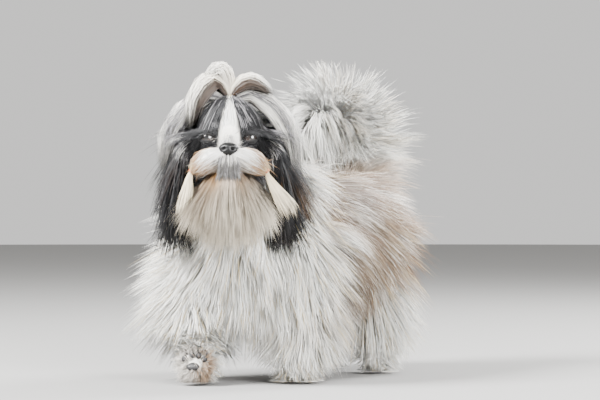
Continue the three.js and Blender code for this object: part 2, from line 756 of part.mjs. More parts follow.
// The head and what hangs from it
const LID_RADII = [EYE_RADIUS + 2.2, EYE_RADIUS + 1.6, EYE_RADIUS + 2];
const lids = (grow) =>
  wasm.Manifold.union([-1, 1].map((side) => ball(eyeCentre(side), LID_RADII, headTurn, grow, 8, 6)));
const lidOpenings = wasm.Manifold.union(
  [-1, 1].map((side) =>
    ball(headPoint((side * EYE_SPACING) / 2 + side * 1, -52, 4), [9.4, 12, 6.8], headTurn, 0, 8, 6),
  ),
);
const eyes = [eye(-1), eye(1)];
const bands = [topknotBand, moustacheBand(-1), moustacheBand(1)];
const headHair = hairy([skull, forelock], headLocks);
const head = (grow) => headHair(grow).add(lids(grow));
const muzzle = hairy([muzzleCore, moustacheLobe(-1), moustacheLobe(1)], []);
const flaps = { "-1": earFlap(-1), 1: earFlap(1) };
const earHair = { "-1": earLocks(-1, flaps["-1"]), 1: earLocks(1, flaps[1]) };
const ear = (side) => hairy([flaps[side]], earHair[side]);
const earCup = (side) => ball(headPoint(side * 59, -2, -24), [6.5, 12, 26], headTurn, 0, 8, 5);
const beard = hairy([jaw], beardLocks);
const tassels = { "-1": tasselLocks(-1), 1: tasselLocks(1) };
const tassel = (side) => hairy([], tassels[side]);

add("head", cut(head, wholeTrunk, ...eyes, ...bands, muzzle).subtract(lidOpenings), SILVER);
for (const [side, name] of [[-1, "right"], [1, "left"]]) {
  add(`eye_${name}`, eye(side)(0), EYE);
  add(`ear_${name}`, cut(ear(side), head, wholeTrunk).subtract(earCup(side)), BLACK);
  add(`moustache_${name}`, cut(tassel(side), muzzle, head, ear(side), moustacheBand(side)), CREAM);
  add(`moustache_band_${name}`, moustacheBand(side)(0), ELASTIC);
}
add("muzzle", cut(muzzle, noseBall, ...bands), WHITE);
add("nose", noseBall(0), LEATHER);
add("beard", cut(beard, muzzle, head, wholeTrunk, ear(-1), ear(1), tassel(-1), tassel(1)), CREAM);
add("topknot", cut(hairy(topknotLobes, topknotLocks), head, topknotBand), WHITE);
add("topknot_band", topknotBand(0), ELASTIC);

// The origin is on the floor, at the middle of the box round the dog
dog.updateMatrixWorld(true);
const box = new THREE.Box3().setFromObject(dog, true);
const middle = box.getCenter(vec(0, 0, 0));
dog.position.set(-middle.x, -middle.y, -box.min.z);

export default dog;
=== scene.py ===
"""A shih tzu in full show coat, walking, dressed over its CAD frame (Blender 4.5).

Lengths are millimetres of the dog's own frame until a mesh is made. There the dog faces -Y,
its left is +X and the floor is at 0. The head has a frame of its own inside that one,
with x to the dog's left, y to the back and z up.
"""

import functools
import math

import bmesh
import bpy
import numpy as np
from bpy.props import FloatProperty, FloatVectorProperty, IntProperty, PointerProperty
from mathutils import Matrix, Vector
from mathutils.bvhtree import BVHTree
from mathutils.kdtree import KDTree


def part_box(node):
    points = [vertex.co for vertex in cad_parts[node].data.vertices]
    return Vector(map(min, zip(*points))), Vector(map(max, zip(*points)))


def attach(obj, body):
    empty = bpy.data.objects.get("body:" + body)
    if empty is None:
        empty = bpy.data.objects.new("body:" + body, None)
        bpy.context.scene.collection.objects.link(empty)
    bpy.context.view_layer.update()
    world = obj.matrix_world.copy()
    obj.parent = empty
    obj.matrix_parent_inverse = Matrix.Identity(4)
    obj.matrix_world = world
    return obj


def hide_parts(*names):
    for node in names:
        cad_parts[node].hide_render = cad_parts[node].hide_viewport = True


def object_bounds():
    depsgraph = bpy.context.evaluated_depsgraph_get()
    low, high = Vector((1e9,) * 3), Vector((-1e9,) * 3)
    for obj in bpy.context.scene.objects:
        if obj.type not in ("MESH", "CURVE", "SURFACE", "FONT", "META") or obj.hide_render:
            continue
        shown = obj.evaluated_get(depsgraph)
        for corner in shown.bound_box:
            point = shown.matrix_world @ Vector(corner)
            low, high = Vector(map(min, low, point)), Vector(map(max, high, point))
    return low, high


bl_info = {
    "name": "Shih tzu",
    "version": (1, 0, 0),
    "blender": (4, 5, 0),
    "location": "View3D > Sidebar > Shih tzu",
    "description": "A life-size shih tzu in full coat, dressed over its CAD frame",
    "category": "Object",
}

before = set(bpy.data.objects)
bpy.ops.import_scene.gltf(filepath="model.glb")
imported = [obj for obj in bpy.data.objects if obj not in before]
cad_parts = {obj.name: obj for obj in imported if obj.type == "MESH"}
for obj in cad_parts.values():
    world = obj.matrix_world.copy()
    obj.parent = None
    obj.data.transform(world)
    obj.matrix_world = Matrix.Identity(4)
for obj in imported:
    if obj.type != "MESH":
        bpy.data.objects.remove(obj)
CAD_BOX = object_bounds()

MM = 0.001
SOLE_HEIGHT = 2.5  # lowest height of the skin
HAIR_FLOOR = 4.0  # lowest height of the middle of a hair
HEAD_AT = np.array((-4.0, -172.0, 308.0))
HEAD_TURN = math.radians(30)
HEAD_LIFT = math.radians(6)
HEAD_ROTATION = np.array(
    (Matrix.Rotation(HEAD_TURN, 4, "Z") @ Matrix.Rotation(-HEAD_LIFT, 4, "X")).to_3x3()
)
EYE_AT = (27.0, -38.0, 5.0)  # the left one, in the head's frame
EYE_RADIUS = 10.5
NOSE_AT = (0.0, -69.0, -13.0)
KNOT_AT = (0.0, -22.0, 60.0)
BAND_AT = (47.0, -50.0, -39.0)  # the left one
CAMERA_AZIMUTH = math.radians(30)
CAMERA_PITCH = math.radians(0.28)
CAMERA_DISTANCE = 3000.0
CAMERA_HEIGHT = 225.0
LENS = 133.3
LAMPS = {  # place in metres, watts and width in metres
    "key": ((-1.2, -2.4, 2.4), 860, 1.5),
    "fill": ((2.4, -1.6, 1.2), 300, 1.6),
    "rim": ((1.2, 2.2, 2.0), 330, 1.2),
}
PALEST = 0.95  # lightest that a hair of the coat may be, in linear light
PALEST_TIED = 0.92  # the same for the tied hair
UNDERCOAT_PAINTED_SHADE = 0.8  # the skin against the markings, darker as painted shade under the coat
HAIR_THICKNESS = 0.4  # of a hair's width
HAIR_PATCH = 0.003  # width of each hair's place on the OFBake map
TRUNK_MIDDLE = 188  # height of the middle of the trunk

SEEDS = {
    "coat_side_left": 21,
    "coat_side_right": 19,
    "coat_breast": 31,
    "coat_foreleg_left": 41,
    "coat_foreleg_right": 42,
    "coat_hindlegs": 43,
    "coat_paw": 44,
    "coat_tail": 51,
    "coat_brow": 61,
    "coat_head": 62,
    "coat_lashes": 63,
    "coat_ears": 71,
    "coat_muzzle": 81,
    "coat_beard": 91,
    "coat_topknot": 101,
    "coat_moustache": 111,
}
BODY_HAIRS_PER_GUIDE = 14
HEAD_HAIRS_PER_GUIDE = 11
STEPS = 8  # stretches of each guide
SKIN_AROUND = 28  # corners round each ring of the skin

X = np.array((1.0, 0.0, 0.0))
Z = np.array((0.0, 0.0, 1.0))


# Places and curves


def unit(vectors):
    size = np.linalg.norm(vectors, axis=-1, keepdims=True)
    return vectors / np.maximum(size, 1e-9)


def head_point(x, y, z):
    return HEAD_AT + HEAD_ROTATION @ (x, y, z)


def head_aim(x, y, z):
    return unit(HEAD_ROTATION @ np.array((x, y, z), float))


def head_aims(aims):
    """Directions in the head's frame as unit directions of the dog's."""
    return unit(aims) @ HEAD_ROTATION.T


def in_head(points):
    """The same points in the head's own frame."""
    return (points - HEAD_AT) @ HEAD_ROTATION


def middle_of(node):
    low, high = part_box(node)
    return np.array((low + high) / 2)


SHIFT = middle_of("eye_left") - head_point(*EYE_AT) * MM
TO_ROW = Matrix.Translation(Vector(SHIFT)) @ Matrix.Scale(MM, 4)
HEAD_TO_ROW = (
    TO_ROW
    @ Matrix.Translation(Vector(HEAD_AT))
    @ Matrix([[*HEAD_ROTATION[i], 0] for i in range(3)] + [[0, 0, 0, 1]])
)


def placed(points):
    """Millimetres of the dog's frame as metres of the row frame."""
    return np.asarray(points, float) * MM + SHIFT


REACH = 0.03 * np.subtract(CAD_BOX[1], CAD_BOX[0]) / MM + 8  # how far the coat may pass the solids
LOW = (np.array(CAD_BOX[0]) - SHIFT) / MM - REACH
HIGH = (np.array(CAD_BOX[1]) - SHIFT) / MM + REACH


def kept_in(points, soft=22.0):
    """Bends whatever nears the coat's farthest reach back inside it."""
    high = HIGH - soft
    points = np.where(points > high, high + soft * np.tanh((points - high) / soft), points)
    low = LOW + soft
    bent = np.where(points < low, low - soft * np.tanh((low - points) / soft), points)
    bent[..., 2] = np.maximum(points[..., 2], HAIR_FLOOR)
    return bent


def soft_step(low, high, x):
    t = np.clip((x - low) / (high - low), 0, 1)
    return t * t * (3 - 2 * t)


def blend(a, b, share):
    share = np.asarray(share, float)
    if np.ndim(a) > 1 or np.ndim(b) > 1 or share.ndim == 1:
        share = share[..., None]
    return np.asarray(a) * (1 - share) + np.asarray(b) * share


def ways(x, y, z):
    """One direction for each hair, from a value for each or one for all."""
    return np.stack(np.broadcast_arrays(x, y, z), -1).astype(float)


def ripple(points, size, seed):
    """Smooth, wandering values from about -1 to 1 over the points."""
    rng = np.random.default_rng(seed)
    value = np.zeros(len(points))
    for _ in range(4):
        way = unit(rng.normal(size=3)) * 2 * math.pi / (size * rng.uniform(0.7, 1.6))
        value += np.sin(points @ way + rng.uniform(0, 6.3))
    return value / 2.4


def smooth_line(points, t):
    """A smooth curve through the points, at knot places t."""
    points = np.asarray(points, float)
    padded = np.vstack([2 * points[0] - points[1], points, 2 * points[-1] - points[-2]])
    i = np.minimum(np.asarray(t).astype(int), len(points) - 2)
    f = (t - i)[..., None]
    a, b, c, d = padded[i], padded[i + 1], padded[i + 2], padded[i + 3]
    bend = (2 * a - 5 * b + 4 * c - d) * f**2 + (3 * b - a - 3 * c + d) * f**3
    return 0.5 * (2 * b + (c - a) * f + bend)


# Sizes and colours


def colour_of_coat(name, value):
    return FloatVectorProperty(
        name=name,
        description=f"{name} of the coat, as seen on screen",
        default=value,
        size=3,
        min=0,
        max=1,
        subtype="COLOR_GAMMA",
    )


class DogCoatColours(bpy.types.PropertyGroup):
    white: colour_of_coat("White", (0.985, 0.97, 0.935))
    cream: colour_of_coat("Cream", (0.87, 0.79, 0.62))
    fawn: colour_of_coat("Fawn", (0.46, 0.325, 0.195))
    tan: colour_of_coat("Tan", (0.64, 0.43, 0.12))
    grey: colour_of_coat("Grey", (0.60, 0.59, 0.60))
    brown: colour_of_coat("Brown", (0.28, 0.195, 0.13))
    charcoal: colour_of_coat("Charcoal", (0.10, 0.10, 0.11))


def number_of(name, count):
    return IntProperty(name=name, description=f"Hairs of the {name.lower()}", default=count, min=10)


class DogCoatSizes(bpy.types.PropertyGroup):
    side: number_of("Near side", 7800)
    far_side: number_of("Far side", 6000)
    breast: number_of("Breast", 7800)
    foreleg_left: number_of("Left foreleg", 6000)
    foreleg_right: number_of("Right foreleg", 6500)
    hindlegs: number_of("Hind legs", 7000)
    tail: number_of("Tail", 7500)
    head: number_of("Head", 5600)
    brow: number_of("Brow", 2200)
    lashes: number_of("Lashes", 700)
    paw: number_of("Lifted paw", 1800)
    ears: number_of("Ears", 4500)
    muzzle: number_of("Muzzle", 3500)
    beard: number_of("Beard", 6000)
    tassels: number_of("Tied ends", 900)
    topknot: number_of("Topknot", 2600)
    crown: number_of("Crown, each side", 1500)
    hair_width: FloatProperty(
        name="Hair width",
        description="Width of one fine lock of the long coat",
        default=0.95 * MM,
        min=0.2 * MM,
        unit="LENGTH",
    )
    skin_cell: FloatProperty(
        name="Skin cell",
        description="Size of the skin's faces",
        default=3.2 * MM,
        min=1 * MM,
        unit="LENGTH",
    )


def sizes():
    return bpy.context.scene.dog_sizes


def linear(colour):
    """A screen colour as linear light."""
    c = np.asarray(colour, float)
    return np.where(c <= 0.04045, c / 12.92, ((c + 0.055) / 1.055) ** 2.4)


def coat_colour(name):
    return linear(getattr(bpy.context.scene.dog_colours, name))


# Body parts


class Part:
    """A body part as oval rings along a smooth line.

    Each knot of the line is (x, y, z, half width, half height).
    """

    CAP = ((0.55, 0.85), (0.9, 0.5))  # rise and width of the rings that round off an end

    def __init__(self, knots, stations, across=X, place=None, fleece=4.0, ends=(0.6, 0.6)):
        knots = np.array(knots, float)
        at = knots[:, :3] if place is None else np.array([place(*k) for k in knots[:, :3]])
        t = np.linspace(0, len(knots) - 1, stations)
        self.at = smooth_line(at, t)
        self.along = unit(np.gradient(self.at, axis=0))
        self.side = unit(across - self.along * (self.along @ across)[:, None])
        self.up = np.cross(self.side, self.along)
        self.w = np.interp(t, range(len(knots)), knots[:, 3]) - fleece
        self.h = np.interp(t, range(len(knots)), knots[:, 4]) - fleece
        self.ends = ends

    def cap(self, end, sign, reach):
        """Centre, station and width of the rings past one end, from the body outwards."""
        reach *= min(self.w[end], self.h[end])
        way = sign * self.along[end]
        return [(self.at[end] + way * reach * rise, end, width) for rise, width in self.CAP]

    def matrices(self):
        """A transform of the unit circle for each ring, with a rounded cap at both ends."""
        last = len(self.at) - 1
        rings = self.cap(0, -1, self.ends[0])[::-1]
        rings += [(self.at[i], i, 1.0) for i in range(len(self.at))]
        rings += self.cap(last, 1, self.ends[1])
        result = []
        for at, i, share in rings:
            columns = (self.side[i] * self.w[i] * share, self.up[i] * self.h[i] * share, self.along[i], at)
            result.append(Matrix([[*(c[row] for c in columns)] for row in range(3)] + [[0, 0, 0, 1]]))
        return result


def head_part(knots, stations, across=(1, 0, 0), **options):
    return Part(knots, stations, across=head_aim(*across), place=head_point, **options)


def ear(side):
    knots = [
        (side * 46, 4, 22, 10, 3.5),
        (side * 59, 3, 8, 19, 4),
        (side * 66, 1, -22, 25, 4),
        (side * 68, -1, -52, 20, 3.5),
        (side * 67, -2, -92, 12, 3),
    ]
    return head_part(knots, 9, across=(0, -1, 0), fleece=0)


def lobe(side):
    """One half of the moustache, from the nose to its elastic."""
    knots = [
        (side * 8, -58, -22, 15, 15),
        (side * 22, -59, -24, 12, 16),
        (side * 36, -55, -31, 8, 11),
        (side * 46, -50, -38, 3, 3),
    ]
    return head_part(knots, 7, across=(0, -1, 0), fleece=1)


TRUNK = [
    (0, -158, 188, 28, 36),
    (0, -136, 186, 54, 58),
    (0, -98, 184, 70, 70),
    (0, -38, 184, 72, 70),
    (0, 20, 187, 68, 64),
    (0, 82, 188, 68, 62),
    (0, 128, 188, 52, 52),
    (0, 148, 188, 28, 30),
]
NECK = [(0, -92, 218, 54, 54), (-1, -118, 243, 52, 50), (-3, -146, 274, 44, 42)]
FORELEG_LEFT = [
    (50, -96, 186, 30, 36),
    (54, -80, 135, 27, 29),
    (50, -82, 78, 22, 22),
    (46, -84, 34, 20, 21),
    (45, -90, 12, 20, 25),
]
FORELEG_RIGHT = [
    (-58, -104, 186, 30, 34),
    (-84, -128, 134, 27, 28),
    (-70, -156, 80, 21, 21),
    (-52, -165, 42, 17, 17),
    (-48, -170, 14, 15, 15),
]
HINDLEG_LEFT = [
    (48, 108, 180, 34, 44),
    (54, 92, 130, 31, 37),
    (54, 124, 76, 21, 24),
    (52, 128, 36, 19, 21),
    (52, 114, 12, 19, 26),
]
HINDLEG_RIGHT = [
    (-48, 110, 180, 34, 44),
    (-56, 112, 130, 30, 35),
    (-54, 156, 80, 21, 23),
    (-50, 170, 40, 19, 20),
    (-50, 158, 12, 19, 25),
]
TAIL = [
    (0, 126, 224, 19, 19),
    (0, 150, 258, 17, 17),
    (-2, 150, 302, 16, 16),
    (-6, 126, 338, 15, 15),
    (-10, 90, 352, 14, 14),
    (-14, 54, 342, 11, 11),
    (-18, 30, 318, 8, 8),
]
SKULL = [
    (0, 42, 2, 34, 32),
    (0, 20, 4, 50, 44),
    (0, -6, 4, 54, 46),
    (0, -28, 1, 50, 40),
    (0, -42, -2, 38, 30),
]
FORELOCK = [(0, -22, 14, 44, 22), (0, -25, 34, 38, 17), (0, -24, 48, 22, 12), (0, -22, 55, 8, 7)]
MUZZLE = [(0, -34, -22, 27, 17), (0, -52, -22, 29, 19), (0, -64, -22, 26, 17), (0, -68, -22, 20, 12)]
JAW = [(0, -26, -46, 24, 9), (0, -48, -47, 23, 9), (0, -61, -46, 17, 7)]

PARTS = {
    "trunk": Part(TRUNK, 15, fleece=7),
    "neck": Part(NECK, 6, fleece=7),
    "foreleg_left": Part(FORELEG_LEFT, 9),
    "foreleg_right": Part(FORELEG_RIGHT, 9),
    "hindleg_left": Part(HINDLEG_LEFT, 9),
    "hindleg_right": Part(HINDLEG_RIGHT, 9),
    "tail": Part(TAIL, 13),
    "skull": head_part(SKULL, 9, ends=(0.2, 0.2)),
    "forelock": head_part(FORELOCK, 7, fleece=2),
    "muzzle": head_part(MUZZLE, 7, fleece=1.5, ends=(0.15, 0.15)),
    "jaw": head_part(JAW, 6, fleece=0.5, ends=(0.4, 0.4)),
    "lobe_left": lobe(1),
    "lobe_right": lobe(-1),
    "ear_left": ear(1),
    "ear_right": ear(-1),
}
PART_NAMES = list(PARTS)

PAW_AT = Vector((-47, -186, 28))
PAW_TURN = Matrix.Rotation(math.radians(12), 4, "Z") @ Matrix.Rotation(math.radians(-28), 4, "X")
PAW = TO_ROW @ Matrix.Translation(PAW_AT) @ PAW_TURN
PAW_REACH = 28.0
TOES = [(-13.5, 3, 4), (-4.8, 8, 4.2), (4.8, 8, 4.2), (13.5, 3, 4)]  # x, z and size of each toe's pad


def on_paw(points):
    away = points - np.array(PAW_AT)
    return (np.linalg.norm(away, axis=1) < PAW_REACH) & (away[:, 1] < 6)


def in_paw(points):
    """The same points in the lifted paw's own frame, with its pads to -y."""
    return (points - np.array(PAW_AT)) @ np.array(PAW_TURN.to_3x3())


def locate(points):
    """For each point the part it lies nearest to, how far along that part, and the angle round it."""
    best = np.full(len(points), np.inf)
    part = np.zeros(len(points), int)
    along = np.zeros(len(points))
    angle = np.zeros(len(points))
    for k, p in enumerate(PARTS.values()):
        for i in range(len(p.at)):
            v = points - p.at[i]
            a, b = v @ p.side[i] / p.w[i], v @ p.up[i] / p.h[i]
            c = v @ p.along[i] / ((p.w[i] + p.h[i]) / 2)
            gap = (np.sqrt(a * a + b * b + c * c) - 1) * min(p.w[i], p.h[i])
            near = gap < best
            best[near] = gap[near]
            part[near] = k
            along[near] = i / (len(p.at) - 1)
            angle[near] = np.arctan2(b, a)[near]
    return part, along, angle


def is_part(part, *names):
    return np.isin(part, [PART_NAMES.index(name) for name in names])


# Markings, shared by the skin and every piece of the coat


def body_markings(points, c, streaks):
    """Fawn back and sides with grey and white streaks, between white shoulders and white legs."""
    y, z = points[:, 1], points[:, 2]
    edge = 12 * ripple(points, 70, 3)
    hem = 104 + 50 * soft_step(40, 90, y)
    saddle = soft_step(-112, -86, y + edge) * soft_step(hem - 22, hem + 22, z + edge)
    coat = blend(c["fawn"], c["cream"], 0.3 * soft_step(-0.2, 0.9, streaks))
    coat = blend(coat, c["grey"], 0.35 * soft_step(0.1, 0.8, ripple(points * (1, 1, 0.4), 60, 8)))
    # Painted shade: brown low on the flank, just behind the shoulder.
    coat = blend(coat, c["brown"], 0.75 * soft_step(-45, -70, y) * soft_step(215, 185, z))
    coat = blend(coat, c["brown"], 0.6 * soft_step(0.1, 0.8, ripple(points * (1, 1, 0.4), 50, 9)))
    coat = blend(coat, c["tan"], 0.7 * soft_step(70, 110, y) * soft_step(205, 235, z))
    coat = blend(coat, c["white"], 0.6 * soft_step(0.5, 0.95, ripple(points * (1, 1.2, 0.35), 46, 12)))
    return blend(np.tile(c["white"], (len(points), 1)), coat, saddle)


def tail_markings(points, c, streaks):
    """White, with a tan root and brown at its end as painted shade under the curl."""
    y, z = points[:, 1], points[:, 2]
    coat = blend(c["white"], c["tan"], 0.8 * soft_step(290, 255, z) * soft_step(100, 130, y))
    coat = blend(coat, c["cream"], 0.5 * soft_step(0.2, 0.9, streaks))
    # Painted shade: brown where the tail's end hangs under its curl.
    return blend(coat, c["brown"], 0.5 * soft_step(330, 312, z) * soft_step(80, 60, y))


def head_markings(points, c, streaks):
    """Dark round the eyes and over them, with a white blaze and a white crown."""
    x, y, z = in_head(points).T
    out = np.abs(x)
    coat = blend(c["charcoal"], c["grey"], soft_step(-0.3, 0.9, ripple(points, 16, 15)))
    coat = blend(coat, c["white"], soft_step(22, 40, z + 6 * streaks) * soft_step(-26, -6, y))
    coat = blend(coat, c["white"], 0.9 * soft_step(6, 26, y))
    patch = soft_step(42, 34, out) * soft_step(-4, -14, y) * soft_step(0, 8, z)
    coat = blend(coat, c["charcoal"], np.where(x > 0, 0.85, 1.0) * patch)
    eye_ring = soft_step(30, 20, np.hypot((out - 30) * 0.75, z - 1)) * soft_step(-14, -26, y)
    coat = blend(coat, c["charcoal"] * 0.6, eye_ring)
    blaze = soft_step(2.5, -1.5, out - (2.5 + 10 * soft_step(48, 2, z)))
    return blend(coat, c["white"], blaze * soft_step(-8, -18, y) * soft_step(-14, -6, z))


def ear_markings(points, c, streaks):
    """Charcoal with brown streaks, tan on the left one's outer edge."""
    x, _, z = in_head(points).T
    coat = blend(c["charcoal"], c["brown"], 0.25 * soft_step(0.1, 0.9, streaks))
    outer = 0.7 * soft_step(66, 71, x) * soft_step(-34, -18, z) * soft_step(6, 0, z)
    return blend(coat, c["tan"], outer)


def muzzle_markings(points, c):
    """White at the nose, tan to the elastics, dark towards the eyes and under the nose."""
    x, y, z = in_head(points).T
    out = np.abs(x)
    tanned = 0.85 * soft_step(11, 26, out - 0.4 * (z + 22)) * soft_step(50, 40, out)
    coat = blend(c["white"], c["tan"], tanned)
    coat = blend(coat, c["cream"], soft_step(34, 42, out))
    inner_eye = soft_step(11, 15, out) * soft_step(-52, -46, y) * soft_step(-22, -14, z)
    coat = blend(coat, c["charcoal"] * 0.7, inner_eye)
    under_nose = soft_step(13, 9, out) * soft_step(-17, -22, z) * soft_step(-56, -62, y)
    return blend(coat, c["charcoal"], 0.85 * under_nose)


def chin_markings(points, c):
    out = np.abs(in_head(points)[:, 0])
    return blend(blend(c["tan"], c["fawn"], 0.6), c["cream"], 0.45 * soft_step(12, 2, out))


def markings(points, part):
    """The coat's colour, in linear light, at places on the skin."""
    c = {name: coat_colour(name) for name in DogCoatColours.__annotations__}
    streaks = ripple(points * (1, 1.6, 0.45), 26, 5)
    colour = body_markings(points, c, streaks)
    for names, other in (
        (("tail",), tail_markings(points, c, streaks)),
        (("skull", "forelock"), head_markings(points, c, streaks)),
        (("ear_left", "ear_right"), ear_markings(points, c, streaks)),
        (("muzzle", "lobe_left", "lobe_right"), muzzle_markings(points, c)),
        (("jaw",), chin_markings(points, c)),
    ):
        colour = np.where(is_part(part, *names)[:, None], other, colour)
    return colour


# Materials


def new_group(name, inputs, outputs):
    """An empty node group with named sockets: {name: (socket type, default)}."""
    group = bpy.data.node_groups.new(name, "ShaderNodeTree")
    for in_out, sockets in (("INPUT", inputs), ("OUTPUT", outputs)):
        for socket, (kind, default) in sockets.items():
            made = group.interface.new_socket(socket, in_out=in_out, socket_type=kind)
            if default is not None:
                made.default_value = default
    return group, group.nodes.new("NodeGroupInput"), group.nodes.new("NodeGroupOutput")


def grain_group():
    """Fine pebbled grain for leather and skin: a height and a mask of its hollows."""
    if "Fine grain" in bpy.data.node_groups:
        return bpy.data.node_groups["Fine grain"]
    group, start, end = new_group(
        "Fine grain",
        {"Scale": ("NodeSocketFloat", 900.0)},
        {"Height": ("NodeSocketFloat", None), "Hollows": ("NodeSocketFloat", None)},
    )
    nodes, links = group.nodes, group.links
    place = nodes.new("ShaderNodeTexCoord")
    cells = nodes.new("ShaderNodeTexVoronoi")
    cells.feature = "DISTANCE_TO_EDGE"
    hollows = nodes.new("ShaderNodeMapRange")
    hollows.inputs["From Max"].default_value = 0.25
    hollows.inputs["To Min"].default_value = 1
    hollows.inputs["To Max"].default_value = 0
    links.new(place.outputs["Object"], cells.inputs["Vector"])
    links.new(start.outputs["Scale"], cells.inputs["Scale"])
    links.new(cells.outputs["Distance"], end.inputs["Height"])
    links.new(cells.outputs["Distance"], hollows.inputs["Value"])
    links.new(hollows.outputs["Result"], end.inputs["Hollows"])
    return group


def tone_group():
    """Uneven tone over a painted colour, as oil and dust leave on hair and skin."""
    if "Uneven tone" in bpy.data.node_groups:
        return bpy.data.node_groups["Uneven tone"]
    group, start, end = new_group(
        "Uneven tone",
        {
            "Color": ("NodeSocketColor", None),
            "Scale": ("NodeSocketFloat", 60.0),
            "Amount": ("NodeSocketFloat", 0.1),
        },
        {"Color": ("NodeSocketColor", None)},
    )
    nodes, links = group.nodes, group.links
    place = nodes.new("ShaderNodeTexCoord")
    noise = nodes.new("ShaderNodeTexNoise")
    noise.inputs["Detail"].default_value = 3
    darker = nodes.new("ShaderNodeMix")
    darker.data_type = "RGBA"
    darker.blend_type = "MULTIPLY"
    links.new(place.outputs["Object"], noise.inputs["Vector"])
    links.new(start.outputs["Scale"], noise.inputs["Scale"])
    links.new(start.outputs["Amount"], darker.inputs["Factor"])
    links.new(start.outputs["Color"], darker.inputs["A"])
    links.new(noise.outputs["Fac"], darker.inputs["B"])
    links.new(darker.outputs["Result"], end.inputs["Color"])
    return group


def soft_normal_group():
    """A normal between that of one hair and the way out of the coat it lies in."""
    if "Soft coat" in bpy.data.node_groups:
        return bpy.data.node_groups["Soft coat"]
    group, start, end = new_group(
        "Soft coat", {"Softness": ("NodeSocketFloat", 0.8)}, {"Normal": ("NodeSocketVector", None)}
    )
    nodes, links = group.nodes, group.links
    hair = nodes.new("ShaderNodeNewGeometry")
    coat = nodes.new("ShaderNodeAttribute")
    coat.attribute_name = "way_out"
    turned = nodes.new("ShaderNodeVectorTransform")
    turned.vector_type = "NORMAL"
    turned.convert_from, turned.convert_to = "OBJECT", "WORLD"
    between = nodes.new("ShaderNodeMix")
    between.data_type = "VECTOR"
    one_long = nodes.new("ShaderNodeVectorMath")
    one_long.operation = "NORMALIZE"
    links.new(coat.outputs["Vector"], turned.inputs["Vector"])
    links.new(start.outputs["Softness"], between.inputs["Factor"])
    links.new(hair.outputs["Normal"], between.inputs["A"])
    links.new(turned.outputs["Vector"], between.inputs["B"])
    links.new(between.outputs["Result"], one_long.inputs["Vector"])
    links.new(one_long.outputs["Vector"], end.inputs["Normal"])
    return group


def new_material(name, **values):
    """A Principled material with plain values by socket name. Gives the material and its shader."""
    material = bpy.data.materials.new(name)
    material.use_nodes = True
    shader = material.node_tree.nodes["Principled BSDF"]
    for socket, value in values.items():
        shader.inputs[socket.replace("_", " ")].default_value = value
    return material, shader


def plain(name, light, **values):
    """A material of one colour, given in linear light."""
    return new_material(name, Base_Color=(*light, 1), **values)[0]


def painted(name, tone, scale, **values):
    """A material that takes its colour from the piece's own painted attribute."""
    material, shader = new_material(name, **values)
    nodes, links = material.node_tree.nodes, material.node_tree.links
    paint = nodes.new("ShaderNodeAttribute")
    paint.attribute_name = "markings"
    uneven = nodes.new("ShaderNodeGroup")
    uneven.node_tree = tone_group()
    uneven.inputs["Scale"].default_value = scale
    uneven.inputs["Amount"].default_value = tone
    links.new(paint.outputs["Color"], uneven.inputs["Color"])
    links.new(uneven.outputs["Color"], shader.inputs["Base Color"])
    return material


def hair_material():
    if "Dog hair" in bpy.data.materials:
        return bpy.data.materials["Dog hair"]
    material = painted("Dog hair", 0.05, 60.0, Roughness=0.5, Specular_IOR_Level=0.3, Sheen_Weight=0.1)
    nodes = material.node_tree.nodes
    soft = nodes.new("ShaderNodeGroup")
    soft.node_tree = soft_normal_group()
    material.node_tree.links.new(soft.outputs["Normal"], nodes["Principled BSDF"].inputs["Normal"])
    return material


def grained(name, colour, roughness, scale, depth, **values):
    """Pebbled leather: a screen colour that is darker in the hollows of its grain, as painted shade."""
    material, shader = new_material(name, Roughness=roughness, **values)
    nodes, links = material.node_tree.nodes, material.node_tree.links
    grain = nodes.new("ShaderNodeGroup")
    grain.node_tree = grain_group()
    grain.inputs["Scale"].default_value = scale
    shade = nodes.new("ShaderNodeMix")
    shade.data_type = "RGBA"
    shade.inputs["A"].default_value = (*linear(colour), 1)
    shade.inputs["B"].default_value = (*linear(np.array(colour) * 0.45), 1)
    bump = nodes.new("ShaderNodeBump")
    bump.inputs["Strength"].default_value = 0.5
    bump.inputs["Distance"].default_value = depth * MM
    # Painted shade in the hollows of the grain.
    links.new(grain.outputs["Hollows"], shade.inputs["Factor"])
    links.new(shade.outputs["Result"], shader.inputs["Base Color"])
    links.new(grain.outputs["Height"], bump.inputs["Height"])
    links.new(bump.outputs["Normal"], shader.inputs["Normal"])
    return material


